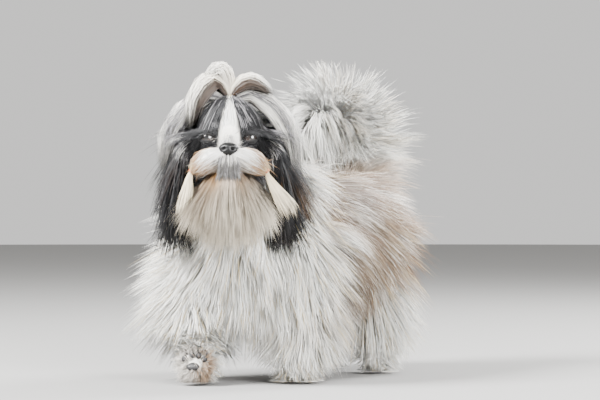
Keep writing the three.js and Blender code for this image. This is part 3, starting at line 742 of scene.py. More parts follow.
def eye_material(centre, gaze, name):
    """A dark brown iris round a black pupil, with the white in the corners, under a wet gloss."""
    material, shader = new_material(
        name, Roughness=0.25, Coat_Weight=1.0, Coat_Roughness=0.02, Specular_IOR_Level=0.6
    )
    nodes, links = material.node_tree.nodes, material.node_tree.links
    place = nodes.new("ShaderNodeTexCoord")
    turn = nodes.new("ShaderNodeMapping")
    turn.vector_type = "TEXTURE"
    turn.inputs["Location"].default_value = centre
    turn.inputs["Rotation"].default_value = Vector(gaze).to_track_quat("Z", "Y").to_euler()
    split = nodes.new("ShaderNodeSeparateXYZ")
    flat = nodes.new("ShaderNodeCombineXYZ")
    reach = nodes.new("ShaderNodeVectorMath")
    reach.operation = "LENGTH"
    share = nodes.new("ShaderNodeMapRange")
    share.inputs["From Max"].default_value = EYE_RADIUS * MM
    ramp = nodes.new("ShaderNodeValToRGB")
    stops = ramp.color_ramp.elements
    stops[0].position, stops[0].color = 0.30, (0.002, 0.002, 0.002, 1)
    stops[1].position, stops[1].color = 0.86, (0.06, 0.045, 0.04, 1)
    for position, colour in (
        (0.36, (0.022, 0.010, 0.005, 1)),
        (0.66, (0.012, 0.006, 0.004, 1)),
        (0.74, (0.004, 0.003, 0.003, 1)),
    ):
        stops.new(position).color = colour
    links.new(place.outputs["Object"], turn.inputs["Vector"])
    links.new(turn.outputs["Vector"], split.inputs["Vector"])
    for axis in "XY":
        links.new(split.outputs[axis], flat.inputs[axis])
    links.new(flat.outputs["Vector"], reach.inputs[0])
    links.new(reach.outputs["Value"], share.inputs["Value"])
    links.new(share.outputs["Result"], ramp.inputs["Fac"])
    links.new(ramp.outputs["Color"], shader.inputs["Base Color"])
    return material


# Making pieces


def add_piece(name, mesh, material, slot=None, nodes=()):
    """Puts a finished mesh in the scene, and where it has a slot, as a piece that rides on the dog."""
    piece = bpy.data.objects.new(name, mesh)
    bpy.context.scene.collection.objects.link(piece)
    mesh.materials.append(material)
    if slot:
        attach(piece, "root")
    if nodes:
        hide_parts(*nodes)
    return piece


def finished(bm, name):
    """The bmesh as a mesh, with smooth faces."""
    mesh = bpy.data.meshes.new(name)
    for face in bm.faces:
        face.smooth = True
    bm.to_mesh(mesh)
    bm.free()
    return mesh


def add_rings(bm, matrices, segments):
    """A closed loft: a disc is extruded from ring to ring."""
    made = bmesh.ops.create_circle(bm, cap_ends=True, segments=segments, radius=1, matrix=matrices[0])
    end = made["verts"][0].link_faces[0]
    for before, after in zip(matrices, matrices[1:]):
        extruded = bmesh.ops.extrude_face_region(bm, geom=[end])["geom"]
        verts = [v for v in extruded if isinstance(v, bmesh.types.BMVert)]
        end = next(f for f in extruded if isinstance(f, bmesh.types.BMFace))
        bmesh.ops.transform(bm, matrix=after @ before.inverted(), verts=verts)


def add_ball(bm, centre, radii, place, around=24, rows=16):
    """An oval ball, by its centre and radii in the frame of a place."""
    matrix = place @ Matrix.Translation(centre) @ Matrix.Diagonal((*radii, 1))
    bmesh.ops.create_uvsphere(bm, u_segments=around, v_segments=rows, radius=1, matrix=matrix)


def paint(mesh, rgb):
    """Stores linear colours on the points of a mesh."""
    attribute = mesh.color_attributes.new("markings", "FLOAT_COLOR", "POINT")
    rgba = np.ones((len(rgb), 4), np.float32)
    rgba[:, :3] = rgb
    attribute.data.foreach_set("color", rgba.ravel())


def corners_of(mesh):
    """The points of a mesh in millimetres of the dog's frame."""
    co = np.empty(len(mesh.vertices) * 3, np.float32)
    mesh.vertices.foreach_get("co", co)
    return (co.reshape(-1, 3).astype(float) - SHIFT) / MM


def unwrapped(part, along, angle):
    """A place for each point on an unwrap of the dog: each part has its own tile."""
    tiles = math.ceil(math.sqrt(len(PARTS)))
    column, row = part % tiles, part // tiles
    u = (column + 0.05 + 0.9 * (angle / (2 * math.pi) + 0.5)) / tiles
    v = (row + 0.05 + 0.9 * along) / tiles
    return np.stack([u, v], -1)


def patches_on(name, along, angle):
    """Places on the unwrap of one part."""
    return unwrapped(np.full(len(along), PART_NAMES.index(name)), along, angle)


class DOG_OT_skin(bpy.types.Operator):
    """The skin with its undercoat: one closed body from the nose to the tail"""

    bl_idname = "dog.skin"
    bl_label = "Skin"
    bl_options = {"REGISTER", "UNDO"}

    def execute(self, context):
        undercoat = painted("Undercoat", 0.25, 240.0, Roughness=0.85, Specular_IOR_Level=0.15)
        rough = add_piece("skin", self.forms(), undercoat, "white_coat")
        remesh = rough.modifiers.new("One body", "REMESH")
        remesh.mode = "VOXEL"
        remesh.voxel_size = sizes().skin_cell
        remesh.use_smooth_shade = True
        smooth = rough.modifiers.new("Soft joins", "SMOOTH")
        smooth.factor = 0.5
        smooth.iterations = 6
        mesh = bpy.data.meshes.new_from_object(rough.evaluated_get(context.evaluated_depsgraph_get()))
        rough.modifiers.clear()
        rough.data = mesh
        self.set_eyes_and_soles(mesh)
        points = corners_of(mesh)
        part, along, angle = locate(points)
        # The skin is painted darker than the markings: painted shade under the coat.
        paint(mesh, markings(points, part) * UNDERCOAT_PAINTED_SHADE)
        uv = mesh.uv_layers.new(name="OFBake")
        corner = np.empty(len(mesh.loops), np.int32)
        mesh.loops.foreach_get("vertex_index", corner)
        uv.data.foreach_set("uv", unwrapped(part, along, angle)[corner].astype(np.float32).ravel())
        body = [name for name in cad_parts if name.startswith(("foreleg", "hindleg", "tail", "ear"))]
        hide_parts("neck", "chest", "barrel", "rump", "head", "muzzle", "paw_right", *body)
        return {"FINISHED"}

    @staticmethod
    def forms():
        """All the parts and the lifted paw as closed forms that cross one another."""
        bm = bmesh.new()
        for part in PARTS.values():
            add_rings(bm, [TO_ROW @ m for m in part.matrices()], SKIN_AROUND)
        add_ball(bm, (0, 6, -5), (16, 14, 13), PAW)
        for x in (-12, -4, 4, 12):
            add_ball(bm, (x, 0, 9 - 0.035 * x * x), (5.6, 8.5, 8), PAW)
        bmesh.ops.recalc_face_normals(bm, faces=bm.faces)
        return finished(bm, "skin")

    @staticmethod
    def set_eyes_and_soles(mesh):
        """Sinks the skin behind each eye and keeps the soles on the floor."""
        local = in_head(corners_of(mesh))
        x, y, z = EYE_AT
        for side in (-1, 1):
            across, up = local[:, 0] - side * x, local[:, 2] - z + 1
            reach = np.hypot(across, up)
            front = local[:, 1] < -20
            over_ball = y - np.sqrt(np.maximum((EYE_RADIUS + 1.5) ** 2 - reach**2, 0))
            lid = soft_step(17, 11.5, reach) * front
            closed = local[:, 1] * (1 - lid) + np.minimum(local[:, 1], over_ball) * lid
            slit = np.hypot(across / 8.6, (up + 0.12 * side * across) / 5.0)
            opening = soft_step(1.15, 0.9, slit) * front
            local[:, 1] = closed * (1 - opening) + (y + 2) * opening
        points = local @ HEAD_ROTATION.T + HEAD_AT
        points[:, 2] = np.maximum(points[:, 2], SOLE_HEIGHT)
        mesh.vertices.foreach_set("co", placed(points).astype(np.float32).ravel())
        mesh.update()


# The coat


class Roots:
    """Where hairs leave the skin."""

    def __init__(self, at, normal, part, along, angle):
        self.at, self.normal, self.part, self.along, self.angle = at, normal, part, along, angle
        self.head = in_head(at)

    def patches(self):
        return unwrapped(self.part, self.along, self.angle)


class Surface:
    """The finished skin, to root hair on.

    It knows its faces, the part that each belongs to, and what lies near a point.
    """

    def __init__(self):
        mesh = bpy.data.objects["skin"].data
        mesh.calc_loop_triangles()
        corners = np.empty(len(mesh.loop_triangles) * 3, np.int32)
        mesh.loop_triangles.foreach_get("vertices", corners)
        self.faces = corners.reshape(-1, 3)
        self.points = corners_of(mesh)
        a, b, c = (self.points[self.faces[:, k]] for k in range(3))
        cross = np.cross(b - a, c - a)
        self.area = np.linalg.norm(cross, axis=1) / 2
        self.normal = unit(cross)
        self.middle = (a + b + c) / 3
        self.part, self.along, self.angle = locate(self.middle)
        self.head = in_head(self.middle)
        self.tree = BVHTree.FromPolygons(self.points.tolist(), self.faces.tolist())

    def roots(self, weight, count, rng):
        """Random places on the faces, more where the weight is higher."""
        share = self.area * weight
        chosen = rng.choice(len(share), size=count, p=share / share.sum())
        u, v = rng.random((2, count))
        over = u + v > 1
        u[over], v[over] = 1 - u[over], 1 - v[over]
        a, b, c = (self.points[self.faces[chosen, k]] for k in range(3))
        at = a + (b - a) * u[:, None] + (c - a) * v[:, None]
        return Roots(at, self.normal[chosen], self.part[chosen], self.along[chosen], self.angle[chosen])

    def nearest(self, points):
        """Distance above the skin, and the way out, for each point."""
        gap = np.empty(len(points))
        out = np.empty((len(points), 3))
        for i, p in enumerate(points):
            at, normal, _, far = self.tree.find_nearest(p)
            way = p - np.array(at)
            above = way @ np.array(normal) >= 0
            gap[i] = far if above else -far
            out[i] = way / far * (1 if above else -1) if far > 1e-6 else normal
        return gap, out


@functools.lru_cache(maxsize=1)
def surface():
    return Surface()


def density(count):
    return count


def draws(name):
    return np.random.default_rng(SEEDS[name])


def scattered(weight, count, per_guide, rng):
    """Roots of the guides and roots of all the hairs of one piece."""
    return [surface().roots(weight, n, rng) for n in (count // per_guide, count)]


def combed(roots, aim, length, stand=0.35, hover=12.0, fall=0.5):
    """Paths that leave the skin, follow the comb, stay above the skin and give way to their weight."""
    count = len(roots.at)
    length, hover, stand, fall = (
        np.broadcast_to(v, count).astype(float) for v in (length, hover, stand, fall)
    )
    heading = unit(np.broadcast_to(aim, (count, 3)) + roots.normal * stand[:, None])
    at = roots.at.copy()
    path, outs = [at], [roots.normal]
    for step in range(1, STEPS + 1):
        heading = unit(heading - Z * (fall / STEPS * (0.5 + step / STEPS))[:, None])
        ahead = at + heading * (length / STEPS)[:, None]
        gap, out = surface().nearest(ahead)
        wanted = hover * np.sin(math.pi / 2 * min(1, 1.8 * step / STEPS))
        ahead += out * np.clip(wanted - gap, 0, None)[:, None] * 0.8
        ahead[:, 2] = np.maximum(ahead[:, 2], HAIR_FLOOR)
        heading = unit(ahead - at)
        at = ahead
        path.append(at)
        outs.append(out)
    return np.stack(path, 1), np.stack(outs, 1)


def gathered(roots, target, hover=3.0):
    """Paths that run over the skin to one tied place."""
    at = roots.at.copy()
    path, outs = [at], [roots.normal]
    for step in range(1, STEPS + 1):
        ahead = at + (target - at) / (STEPS - step + 1)
        gap, out = surface().nearest(ahead)
        wanted = hover * math.sin(math.pi * step / STEPS)
        if step < STEPS:
            ahead += out * np.clip(wanted - gap, 0, None)[:, None]
        at = ahead
        path.append(at)
        outs.append(out)
    return np.stack(path, 1), np.stack(outs, 1)


def resampled(paths, places):
    """Points of each path at shares (count, n) of its way."""
    t = np.clip(places, 0, 1) * (paths.shape[1] - 1)
    i = np.minimum(t.astype(int), paths.shape[1] - 2)
    f = (t - i)[..., None]
    rows = np.arange(len(paths))[:, None]
    return paths[rows, i] * (1 - f) + paths[rows, i + 1] * f


def near_guides(guide_roots, roots, locks, rng):
    """The three guides nearest to each root and the share that each has in its hair.

    A share of the hairs, locks, follows only one guide, which draws them into locks.
    """
    tree = KDTree(len(guide_roots.at))
    for i, p in enumerate(guide_roots.at):
        tree.insert(p, i)
    tree.balance()
    found = [tree.find_n(p, 3) for p in roots.at]
    near = np.array([[k for _, k, _ in three] for three in found])
    far = np.array([[gap for _, _, gap in three] for three in found])
    weight = 1 / (far**2 + 1)
    weight[rng.random(len(roots.at)) < locks, 1:] = 0
    return near, weight / weight.sum(1, keepdims=True)


def grown(
    guides,
    guide_roots,
    roots,
    rng,
    rings=4,
    clump=0.3,
    wave=1.5,
    lift=6.0,
    short=0.55,
    stray=0.03,
    locks=0.3,
):
    """A path for each root after its nearest guides: drawn together, waved, lifted and of uneven length.

    Gives the paths, the way out of the coat along them, and how high in the coat each lies.
    """
    count = len(roots.at)
    near, weight = near_guides(guide_roots, roots, locks, rng)
    guide, guide_out = ((v[near] * weight[..., None, None]).sum(1) for v in guides)
    start = (guide_roots.at[near] * weight[..., None]).sum(1)
    size = rng.uniform(short, 1.02, count)
    places = np.linspace(0, 1, rings + 1)[None] * size[:, None]
    line = resampled(guide, places)
    out = unit(resampled(guide_out, places))
    share = places[..., None]
    offset = (roots.at - start)[:, None]
    tight = clump * rng.uniform(0.4, 1.1, (count, 1, 1))
    line += offset * (1 - tight * share**0.8)
    level = rng.uniform(-0.9, 1, (count, 1, 1))
    line += out * level * lift * np.sin(np.minimum(share * 2.2, math.pi / 2))
    way = unit(np.gradient(line, axis=1))
    side = unit(np.cross(way, out))
    phase = ripple(start, 45, 21)[:, None, None] * 3
    line += side * wave * np.sin(share * 6 + phase + rng.normal(0, 0.3, (count, 1, 1))) * share
    line += rng.normal(0, 1, (count, 1, 3)) * 1.5 * share**1.5
    loose = rng.random(count) < stray
    line[loose] += rng.normal(0, 1, (loose.sum(), 1, 3)) * 8 * share[loose] ** 1.6
    return line, out, level[:, 0, 0]


def hair_points(paths, out, width, share):
    """Three corners round each ring of each hair, and its tip. Each hair is a row."""
    count, rings = len(paths), len(share)
    way = unit(np.gradient(paths, axis=1))
    side = unit(np.cross(way, out))
    up = np.cross(side, way)
    taper = (0.65 + 1.2 * share - 1.55 * share * share)[None, :, None]
    half = np.broadcast_to(width, count)[:, None, None] / 2 * taper
    body = paths[:, :rings]
    a = body + side[:, :rings] * half
    b = body - side[:, :rings] * half
    c = body + up[:, :rings] * half * HAIR_THICKNESS * 2
    points = np.stack([a, b, c], 2).reshape(count, rings * 3, 3)
    return np.concatenate([points, paths[:, -1:]], 1)


def hair_faces(rings):
    """The triangles of one hair, by the numbers of its corners."""
    faces = [(0, 2, 1)]
    for ring in range(rings - 1):
        for k in range(3):
            i, j = ring * 3 + k, ring * 3 + (k + 1) % 3
            faces += [(i, j, j + 3), (i, j + 3, i + 3)]
    last = (rings - 1) * 3
    faces += [(last + k, last + (k + 1) % 3, rings * 3) for k in range(3)]
    return np.array(faces)


def hair_mesh(name, paths, outs, width, tones, patches):
    """Tapered hairs along paths (count, rings + 1, 3), as one mesh with its colours and OFBake map."""
    paths = kept_in(paths)
    count, rings = len(paths), paths.shape[1] - 1
    share = np.linspace(0, 1, rings + 1)[:rings]
    points = hair_points(paths, outs, width, share)
    corners = points.shape[1]
    index = (np.arange(count)[:, None, None] * corners + hair_faces(rings)[None]).reshape(-1, 3)

    mesh = bpy.data.meshes.new(name)
    mesh.vertices.add(count * corners)
    mesh.vertices.foreach_set("co", placed(points.reshape(-1, 3)).astype(np.float32).ravel())
    mesh.loops.add(index.size)
    mesh.loops.foreach_set("vertex_index", index.astype(np.int32).ravel())
    mesh.polygons.add(len(index))
    mesh.polygons.foreach_set("loop_start", np.arange(0, index.size, 3, dtype=np.int32))
    mesh.polygons.foreach_set("use_smooth", np.ones(len(index), bool))
    mesh.update(calc_edges=True)

    out = np.concatenate([np.repeat(outs[:, :rings], 3, axis=1), outs[:, -1:]], 1)
    way_out = mesh.attributes.new("way_out", "FLOAT_VECTOR", "POINT")
    way_out.data.foreach_set("vector", out.astype(np.float32).ravel())
    share = np.append(np.repeat(share, 3), 1.0)
    root_tone, tip_tone = (tone[:, None] for tone in tones)
    rgb = root_tone * (1 - share[:, None]) + tip_tone * share[:, None]
    paint(mesh, rgb.reshape(-1, 3))
    across = np.append(np.tile((0.0, 1.0, 0.5), rings), 0.5)
    patch = np.stack([across, share], -1) * HAIR_PATCH
    uv = (patches[:, None] + patch[None]).reshape(-1, 2)
    layer = mesh.uv_layers.new(name="OFBake")
    layer.data.foreach_set("uv", uv[index.ravel()].astype(np.float32).ravel())
    return mesh


def add_coat(name, slot, paths, outs, width, tones, patches, nodes=()):
    """Puts hairs in the scene as a piece of the coat."""
    return add_piece(name, hair_mesh(name, paths, outs, width, tones, patches), hair_material(), slot, nodes)


def long_hair(rng, low, high, count):
    """Uneven widths for hairs of the long coat."""
    return sizes().hair_width / MM * rng.uniform(low, high, count)


def capped(tones, palest):
    return [np.clip(tone, 0, palest) for tone in tones]


def tones_for(roots, level, rng, root=0.78, spread=0.1, pale_tips=0.0):
    """Root and tip colours from the markings, uneven from hair to hair, with painted shade at the roots and
    low in the coat.
    """
    base = markings(roots.at, roots.part)
    uneven = 1 + spread * rng.normal(0, 1, (len(base), 1))
    base = np.clip(base * uneven, 0.004, PALEST)
    # Painted shade: hairs that lie low in the coat are darker.
    low_in_coat_shade = 0.93 + 0.07 * soft_step(-0.9, 0.4, level)[:, None]
    tips = base * (1 - pale_tips) + coat_colour("white") * pale_tips
    # Painted shade at the roots, by root, and a touch of painted light at the tips.
    return capped([base * root * low_in_coat_shade, tips * 1.02], PALEST)


def spot(tones, rng, chance, colour, where=True, root_share=1.0, tip_share=1.0):
    """Turns some of the hairs to another colour, at the root, the tip or both."""
    chosen = (rng.random(len(tones[0])) < chance) & where
    for tone, share in zip(tones, (root_share, tip_share)):
        tone[chosen] = tone[chosen] * (1 - share) + coat_colour(colour) * share


class DOG_OT_coat_sides(bpy.types.Operator):
    """The long hair of the back and both sides, parted along the spine"""

    bl_idname = "dog.coat_sides"
    bl_label = "Back and sides"
    bl_options = {"REGISTER", "UNDO"}

    def execute(self, context):
        self.side(1, "coat_side_left", density(sizes().side))
        self.side(-1, "coat_side_right", density(sizes().far_side))
        return {"FINISHED"}

    def side(self, sign, name, count):
        skin, rng = surface(), draws(name)
        x, y, z = skin.middle.T
        on = is_part(skin.part, "trunk") & (sign * x > -1) & (y > -112)
        weight = on * (1 + 0.6 * soft_step(150, 210, z)) * np.where(skin.normal[:, 2] < -0.75, 0.35, 1)
        guide_roots, roots = scattered(weight, count, BODY_HAIRS_PER_GUIDE, rng)
        guides = self.comb(guide_roots, sign, rng)
        paths, outs, level = grown(guides, guide_roots, roots, rng, lift=7, wave=4.2)
        tones = tones_for(roots, level, rng, root=0.85, pale_tips=0.08)
        spot(tones, rng, 0.10, "white", True, 0.6, 0.8)
        spot(tones, rng, 0.07, "brown", roots.at[:, 1] > -70, 0.6, 0.4)
        add_coat(name, "fawn_coat", paths, outs, long_hair(rng, 0.7, 1.2, count), tones, roots.patches())

    @staticmethod
    def comb(roots, sign, rng):
        """Guides that fall from the spine over the ribs, and shorter ones under the belly."""
        turn = np.arctan2(np.abs(roots.at[:, 0]), roots.at[:, 2] - TRUNK_MIDDLE)
        back = 0.15 + 0.5 * roots.along + 0.36 * ripple(roots.at, 62, 71)
        aim = ways(sign * (np.cos(turn) * 0.9 + 0.22), back, -np.sin(turn) - 0.15)
        aim += rng.normal(0, 0.05, aim.shape)
        belly = soft_step(2.0, 2.5, turn)
        length = (116 - 10 * soft_step(1.0, 1.6, turn)) * (1 - 0.45 * belly)
        hover = 34 * (1 - 0.7 * belly) * (0.75 + 0.25 * rng.random(len(turn)))
        rear = soft_step(0.6, 0.9, roots.along)
        length = length * (1 - 0.2 * rear) * rng.uniform(0.85, 1.1, len(turn))
        hover = hover * (1 - 0.35 * rear)
        return combed(roots, unit(aim), length, stand=0.4, hover=hover, fall=0.75)


class DOG_OT_coat_breast(bpy.types.Operator):
    """The hair of the neck, the breast and the shoulders"""

    bl_idname = "dog.coat_breast"
    bl_label = "Breast and neck"
    bl_options = {"REGISTER", "UNDO"}

    def execute(self, context):
        skin, rng, count = surface(), draws("coat_breast"), density(sizes().breast)
        on = (is_part(skin.part, "trunk") & (skin.middle[:, 1] < -100)) | is_part(skin.part, "neck")
        behind_ears = (np.abs(skin.head[:, 0]) > 40) & (skin.head[:, 2] > -112) & (skin.head[:, 1] < 30)
        guide_roots, roots = scattered(on & ~behind_ears, count, BODY_HAIRS_PER_GUIDE, rng)
        x = guide_roots.at[:, 0]
        aim = ways(0.012 * x - 0.12 + 0.42 * ripple(guide_roots.at, 62, 72), -0.3, -1)
        aim += rng.normal(0, 0.05, aim.shape)
        length = 104 * rng.uniform(0.82, 1.12, len(x))
        hover = 32 * (0.75 + 0.25 * rng.random(len(x)))
        guides = combed(guide_roots, unit(aim), length, stand=0.75, hover=hover, fall=0.7)
        paths, outs, level = grown(guides, guide_roots, roots, rng, lift=8, wave=4.6, stray=0.04)
        tones = tones_for(roots, level, rng, root=0.96, spread=0.04)
        spot(tones, rng, 0.1, "cream")
        width = long_hair(rng, 0.7, 1.2, count)
        add_coat("coat_breast", "white_coat", paths, outs, width, tones, roots.patches())
        return {"FINISHED"}


class DOG_OT_coat_legs(bpy.types.Operator):
    """The hair of the legs: full bells that hide the feet, and short hair on the lifted paw"""

    bl_idname = "dog.coat_legs"
    bl_label = "Legs"
    bl_options = {"REGISTER", "UNDO"}

    def execute(self, context):
        self.leg("coat_foreleg_left", sizes().foreleg_left, ["foreleg_left"], (0.04, 0.0, -1.0))
        self.leg("coat_foreleg_right", sizes().foreleg_right, ["foreleg_right"], (-0.42, -0.1, -1.0))
        self.leg("coat_hindlegs", sizes().hindlegs, ["hindleg_left", "hindleg_right"], (0.04, 0.14, -1.0))
        self.paw()
        return {"FINISHED"}

    @staticmethod
    def leg(name, count, parts, aim):
        skin, rng, count = surface(), draws(name), density(count)
        on = is_part(skin.part, *parts)
        if name == "coat_foreleg_right":
            on &= ~on_paw(skin.middle)
        guide_roots, roots = scattered(on, count, BODY_HAIRS_PER_GUIDE, rng)
        z = guide_roots.at[:, 2]
        aim = np.array(aim) + rng.normal(0, 0.06, (len(z), 3))
        aim[:, 0] += 0.36 * ripple(guide_roots.at, 52, 73)
        length = np.clip(z * 0.98, 26, 92) * rng.uniform(0.85, 1.1, len(z))
        hover = np.clip(z * 0.32, 9, 30) * (0.75 + 0.25 * rng.random(len(z)))
        if name == "coat_foreleg_right":
            over_paw = soft_step(-150, -172, guide_roots.at[:, 1]) * soft_step(110, 70, z)
            length *= 1 - 0.55 * over_paw
        guides = combed(guide_roots, unit(aim), length, stand=0.8, hover=hover, fall=0.35)
        paths, outs, level = grown(guides, guide_roots, roots, rng, rings=3, lift=7, wave=3.2, stray=0.05)
        tones = tones_for(roots, level, rng, root=0.96, spread=0.04)
        spot(tones, rng, 0.12, "cream")
        add_coat(name, "white_coat", paths, outs, long_hair(rng, 0.7, 1.15, count), tones, roots.patches())

    @staticmethod
    def paw():
        """Short hair round the lifted paw, that leaves the pads and claws bare."""
        skin, rng, count = surface(), draws("coat_paw"), density(sizes().paw)
        y = in_paw(skin.middle)[:, 1]
        on = on_paw(skin.middle) * np.where(y > -6, 1, 0.3) * (y > -13)
        guide_roots, roots = scattered(on, count, 6, rng)
        x, y, z = in_paw(guide_roots.at).T
        aim = ways(x, -9, z - 2)
        aim = (unit(aim) + rng.normal(0, 0.15, aim.shape)) @ np.array(PAW_TURN.to_3x3()).T
        length = rng.uniform(13, 23, len(aim)) * (0.3 + 0.7 * soft_step(-9, -3, y))
        guides = combed(guide_roots, unit(aim), length, stand=0.5, hover=4, fall=0.3)
        paths, outs, _ = grown(guides, guide_roots, roots, rng, rings=3, lift=2, wave=0.6, clump=0.4)
        inner = soft_step(-46, -36, roots.at[:, 0] + rng.normal(0, 4, count))
        tone = blend(coat_colour("white"), coat_colour("tan"), 0.15 + 0.6 * inner)
        tone = tone * rng.uniform(0.75, 1, (count, 1))
        width = rng.uniform(0.45, 0.7, count)
        # The roots are a little darker, as painted shade near the skin.
        add_coat("coat_paw", "cream_coat", paths, outs, width, [tone * 0.9, tone], roots.patches())


class DOG_OT_coat_tail(bpy.types.Operator):
    """The plume of the tail, carried over the back"""

    bl_idname = "dog.coat_tail"
    bl_label = "Tail"
    bl_options = {"REGISTER", "UNDO"}

    def execute(self, context):
        skin, rng, count = surface(), draws("coat_tail"), density(sizes().tail)
        on = is_part(skin.part, "tail") * (0.5 + soft_step(0.1, 0.3, skin.along))
        guide_roots, roots = scattered(on, count, BODY_HAIRS_PER_GUIDE, rng)
        bone = PARTS["tail"].along
        station = np.round(guide_roots.along * (len(bone) - 1)).astype(int)
        aim = bone[station] + X * 0.5 + rng.normal(0, 0.1, (len(station), 3))
        length = (108 - 30 * np.abs(guide_roots.along - 0.5)) * rng.uniform(0.75, 1.1, len(aim))
        tip = soft_step(0.55, 0.85, guide_roots.along)
        hover = (38 - 16 * tip) * (0.75 + 0.25 * rng.random(len(aim)))
        stand, fall = 1.0 - 0.35 * tip, 0.9 + 0.4 * tip
        guides = combed(guide_roots, unit(aim), length, stand=stand, hover=hover, fall=fall)
        paths, outs, level = grown(guides, guide_roots, roots, rng, lift=6, wave=4.6, stray=0.06)
        tones = tones_for(roots, level, rng, root=1.0, spread=0.04, pale_tips=0.3)
        dark = (roots.at[:, 0] > -8) & (roots.along > 0.3) & (roots.at[:, 2] < 345)
        spot(tones, rng, 0.06, "charcoal", dark, 0.2, 0.9)
        width = long_hair(rng, 0.6, 1.1, count)
        add_coat("coat_tail", "white_coat", paths, outs, width, tones, roots.patches())
        return {"FINISHED"}


def goes_to_knot(head, part):
    """Hair of the brow that is gathered into the topknot."""
    x, y, z = head.T
    reach = np.hypot(x - KNOT_AT[0], (y - KNOT_AT[1]) * 0.9)
    return is_part(part, "skull", "forelock") & (z > 9) & (reach < 44) & (y < 8)


def from_eye(x, z):
    """Distance from the nearer eye, seen from the front."""
    return np.minimum(np.hypot(x - EYE_AT[0], z - 3), np.hypot(x + EYE_AT[0], z - 3))


class DOG_OT_coat_head(bpy.types.Operator):
    """The hair of the head: the brow is gathered into the topknot and the rest falls over the cheeks"""

    bl_idname = "dog.coat_head"
    bl_label = "Head"
    bl_options = {"REGISTER", "UNDO"}

    def execute(self, context):
        self.brow()
        self.falls()
        self.lashes()
        return {"FINISHED"}

    @staticmethod
    def brow():
        """Hair drawn up to the elastic, dark with silver streaks beside the white blaze."""
        skin, rng, count = surface(), draws("coat_brow"), density(sizes().brow)
        guide_roots, roots = scattered(goes_to_knot(skin.head, skin.part), count, 3, rng)
        knot = head_point(*KNOT_AT) + rng.normal(0, 1.6, (len(guide_roots.at), 3))
        guides = gathered(guide_roots, knot, hover=4)
        paths, outs, level = grown(
            guides, guide_roots, roots, rng, lift=1.6, wave=0.3, clump=0.97, short=0.93, stray=0.01
        )
        tones = tones_for(roots, level, rng, root=0.9, spread=0.12)
        dark = markings(roots.at, roots.part).mean(1) < 0.2
        silver = dark & (roots.head[:, 0] > 4) & (roots.head[:, 0] < 34)
        spot(tones, rng, 0.30, "grey", silver, 0.6, 0.8)
        spot(tones, rng, 0.05, "grey", dark, 0.6, 0.8)
        width = rng.uniform(0.6, 1.0, count)
        add_coat("coat_brow", "silver_coat", paths, outs, width, tones, roots.patches())

    @staticmethod
    def falls():
        """Long hair that falls from the crown and the cheeks, and short hair on the bridge of the nose."""
        skin, rng, count = surface(), draws("coat_head"), density(sizes().head)
        x, y, z = skin.head.T
        face = (y < -34) & (np.abs(x) < 36) & (z < 18)
        on = is_part(skin.part, "skull", "forelock") & ~goes_to_knot(skin.head, skin.part)
        weight = on * np.where(face, 0.5, 1.0) * np.where(z < -30, 0.4, 1.0)
        guide_roots, roots = scattered(weight, count, HEAD_HAIRS_PER_GUIDE, rng)
        x, y, z = guide_roots.head.T
        side = np.where(x < 0, -1.0, 1.0)
        front = soft_step(-18, -36, y) * soft_step(30, 8, z)
        bridge = soft_step(17, 11, np.abs(x)) * soft_step(-28, -36, y)
        aim = blend(ways(side, 0.1, -0.45), ways(side * 0.75, 0.25, -1), front)
        aim = blend(aim, ways(x * 0.02, 1, -0.5), soft_step(20, 40, y))
        aim = blend(aim, ways(0.03 * x, -0.15, -1), bridge)
        aim = head_aims(aim + rng.normal(0, 0.06, aim.shape))
        close = soft_step(30, 16, from_eye(x, z)) * soft_step(-24, -34, y)
        length = np.clip(52 + 0.9 * z, 38, 84)
        length = (length - 8 * front) * (1 - 0.65 * close) * (1 - 0.75 * bridge)
        length *= rng.uniform(0.85, 1.1, len(x))
        hover = (20 - 10 * front) * (1 - 0.75 * close) * (0.75 + 0.25 * rng.random(len(x)))
        guides = combed(guide_roots, aim, length, stand=0.35, hover=hover, fall=1.0)
        paths, outs, level = grown(guides, guide_roots, roots, rng, lift=5, wave=1.6)
        tones = tones_for(roots, level, rng, root=0.9, spread=0.1)
        x, y, z = roots.head.T
        clear = (from_eye(x, z) > 24) | (y > -26)
        spot(tones, rng, 0.35, "grey", clear, 0.5, 0.7)
        spot(tones, rng, 0.16, "white", clear, 0.5, 0.7)
        spot(tones, rng, 0.12, "charcoal", (z > 12) & (x > 0), 0.5, 0.5)
        width = rng.uniform(0.7, 1.2, count) * (1 - 0.55 * soft_step(32, 18, from_eye(x, z)))
        add_coat("coat_head", "silver_coat", paths, outs, width, tones, roots.patches())

    @staticmethod
    def lashes():
        """Dark hair that falls over the outer half of each eye."""
        skin, rng, count = surface(), draws("coat_lashes"), density(sizes().lashes)
        x, y, z = skin.head.T
        on = (y < -26) & (np.abs(x) > 14) & (np.abs(x) < 44) & (z > 9) & (z < 18)
        guide_roots, roots = scattered(on, count, 4, rng)
        x = guide_roots.head[:, 0]
        outer = soft_step(18, 34, np.abs(x))
        aim = ways(np.sign(x) * (0.4 + 0.8 * outer), -0.15, -0.75)
        aim = head_aims(aim + rng.normal(0, 0.12, aim.shape))
        length = (9 + 22 * outer) * rng.uniform(0.8, 1.2, len(x))
        guides = combed(guide_roots, aim, length, stand=0.3, hover=2.6, fall=0.1)
        paths, outs, _ = grown(guides, guide_roots, roots, rng, rings=3, lift=1.2, wave=0.5, clump=0.3)
        dark = coat_colour("charcoal") * rng.uniform(0.4, 1, (count, 1))
        width = rng.uniform(0.4, 0.6, count)
        add_coat("coat_lashes", "black_coat", paths, outs, width, [dark, dark], roots.patches())


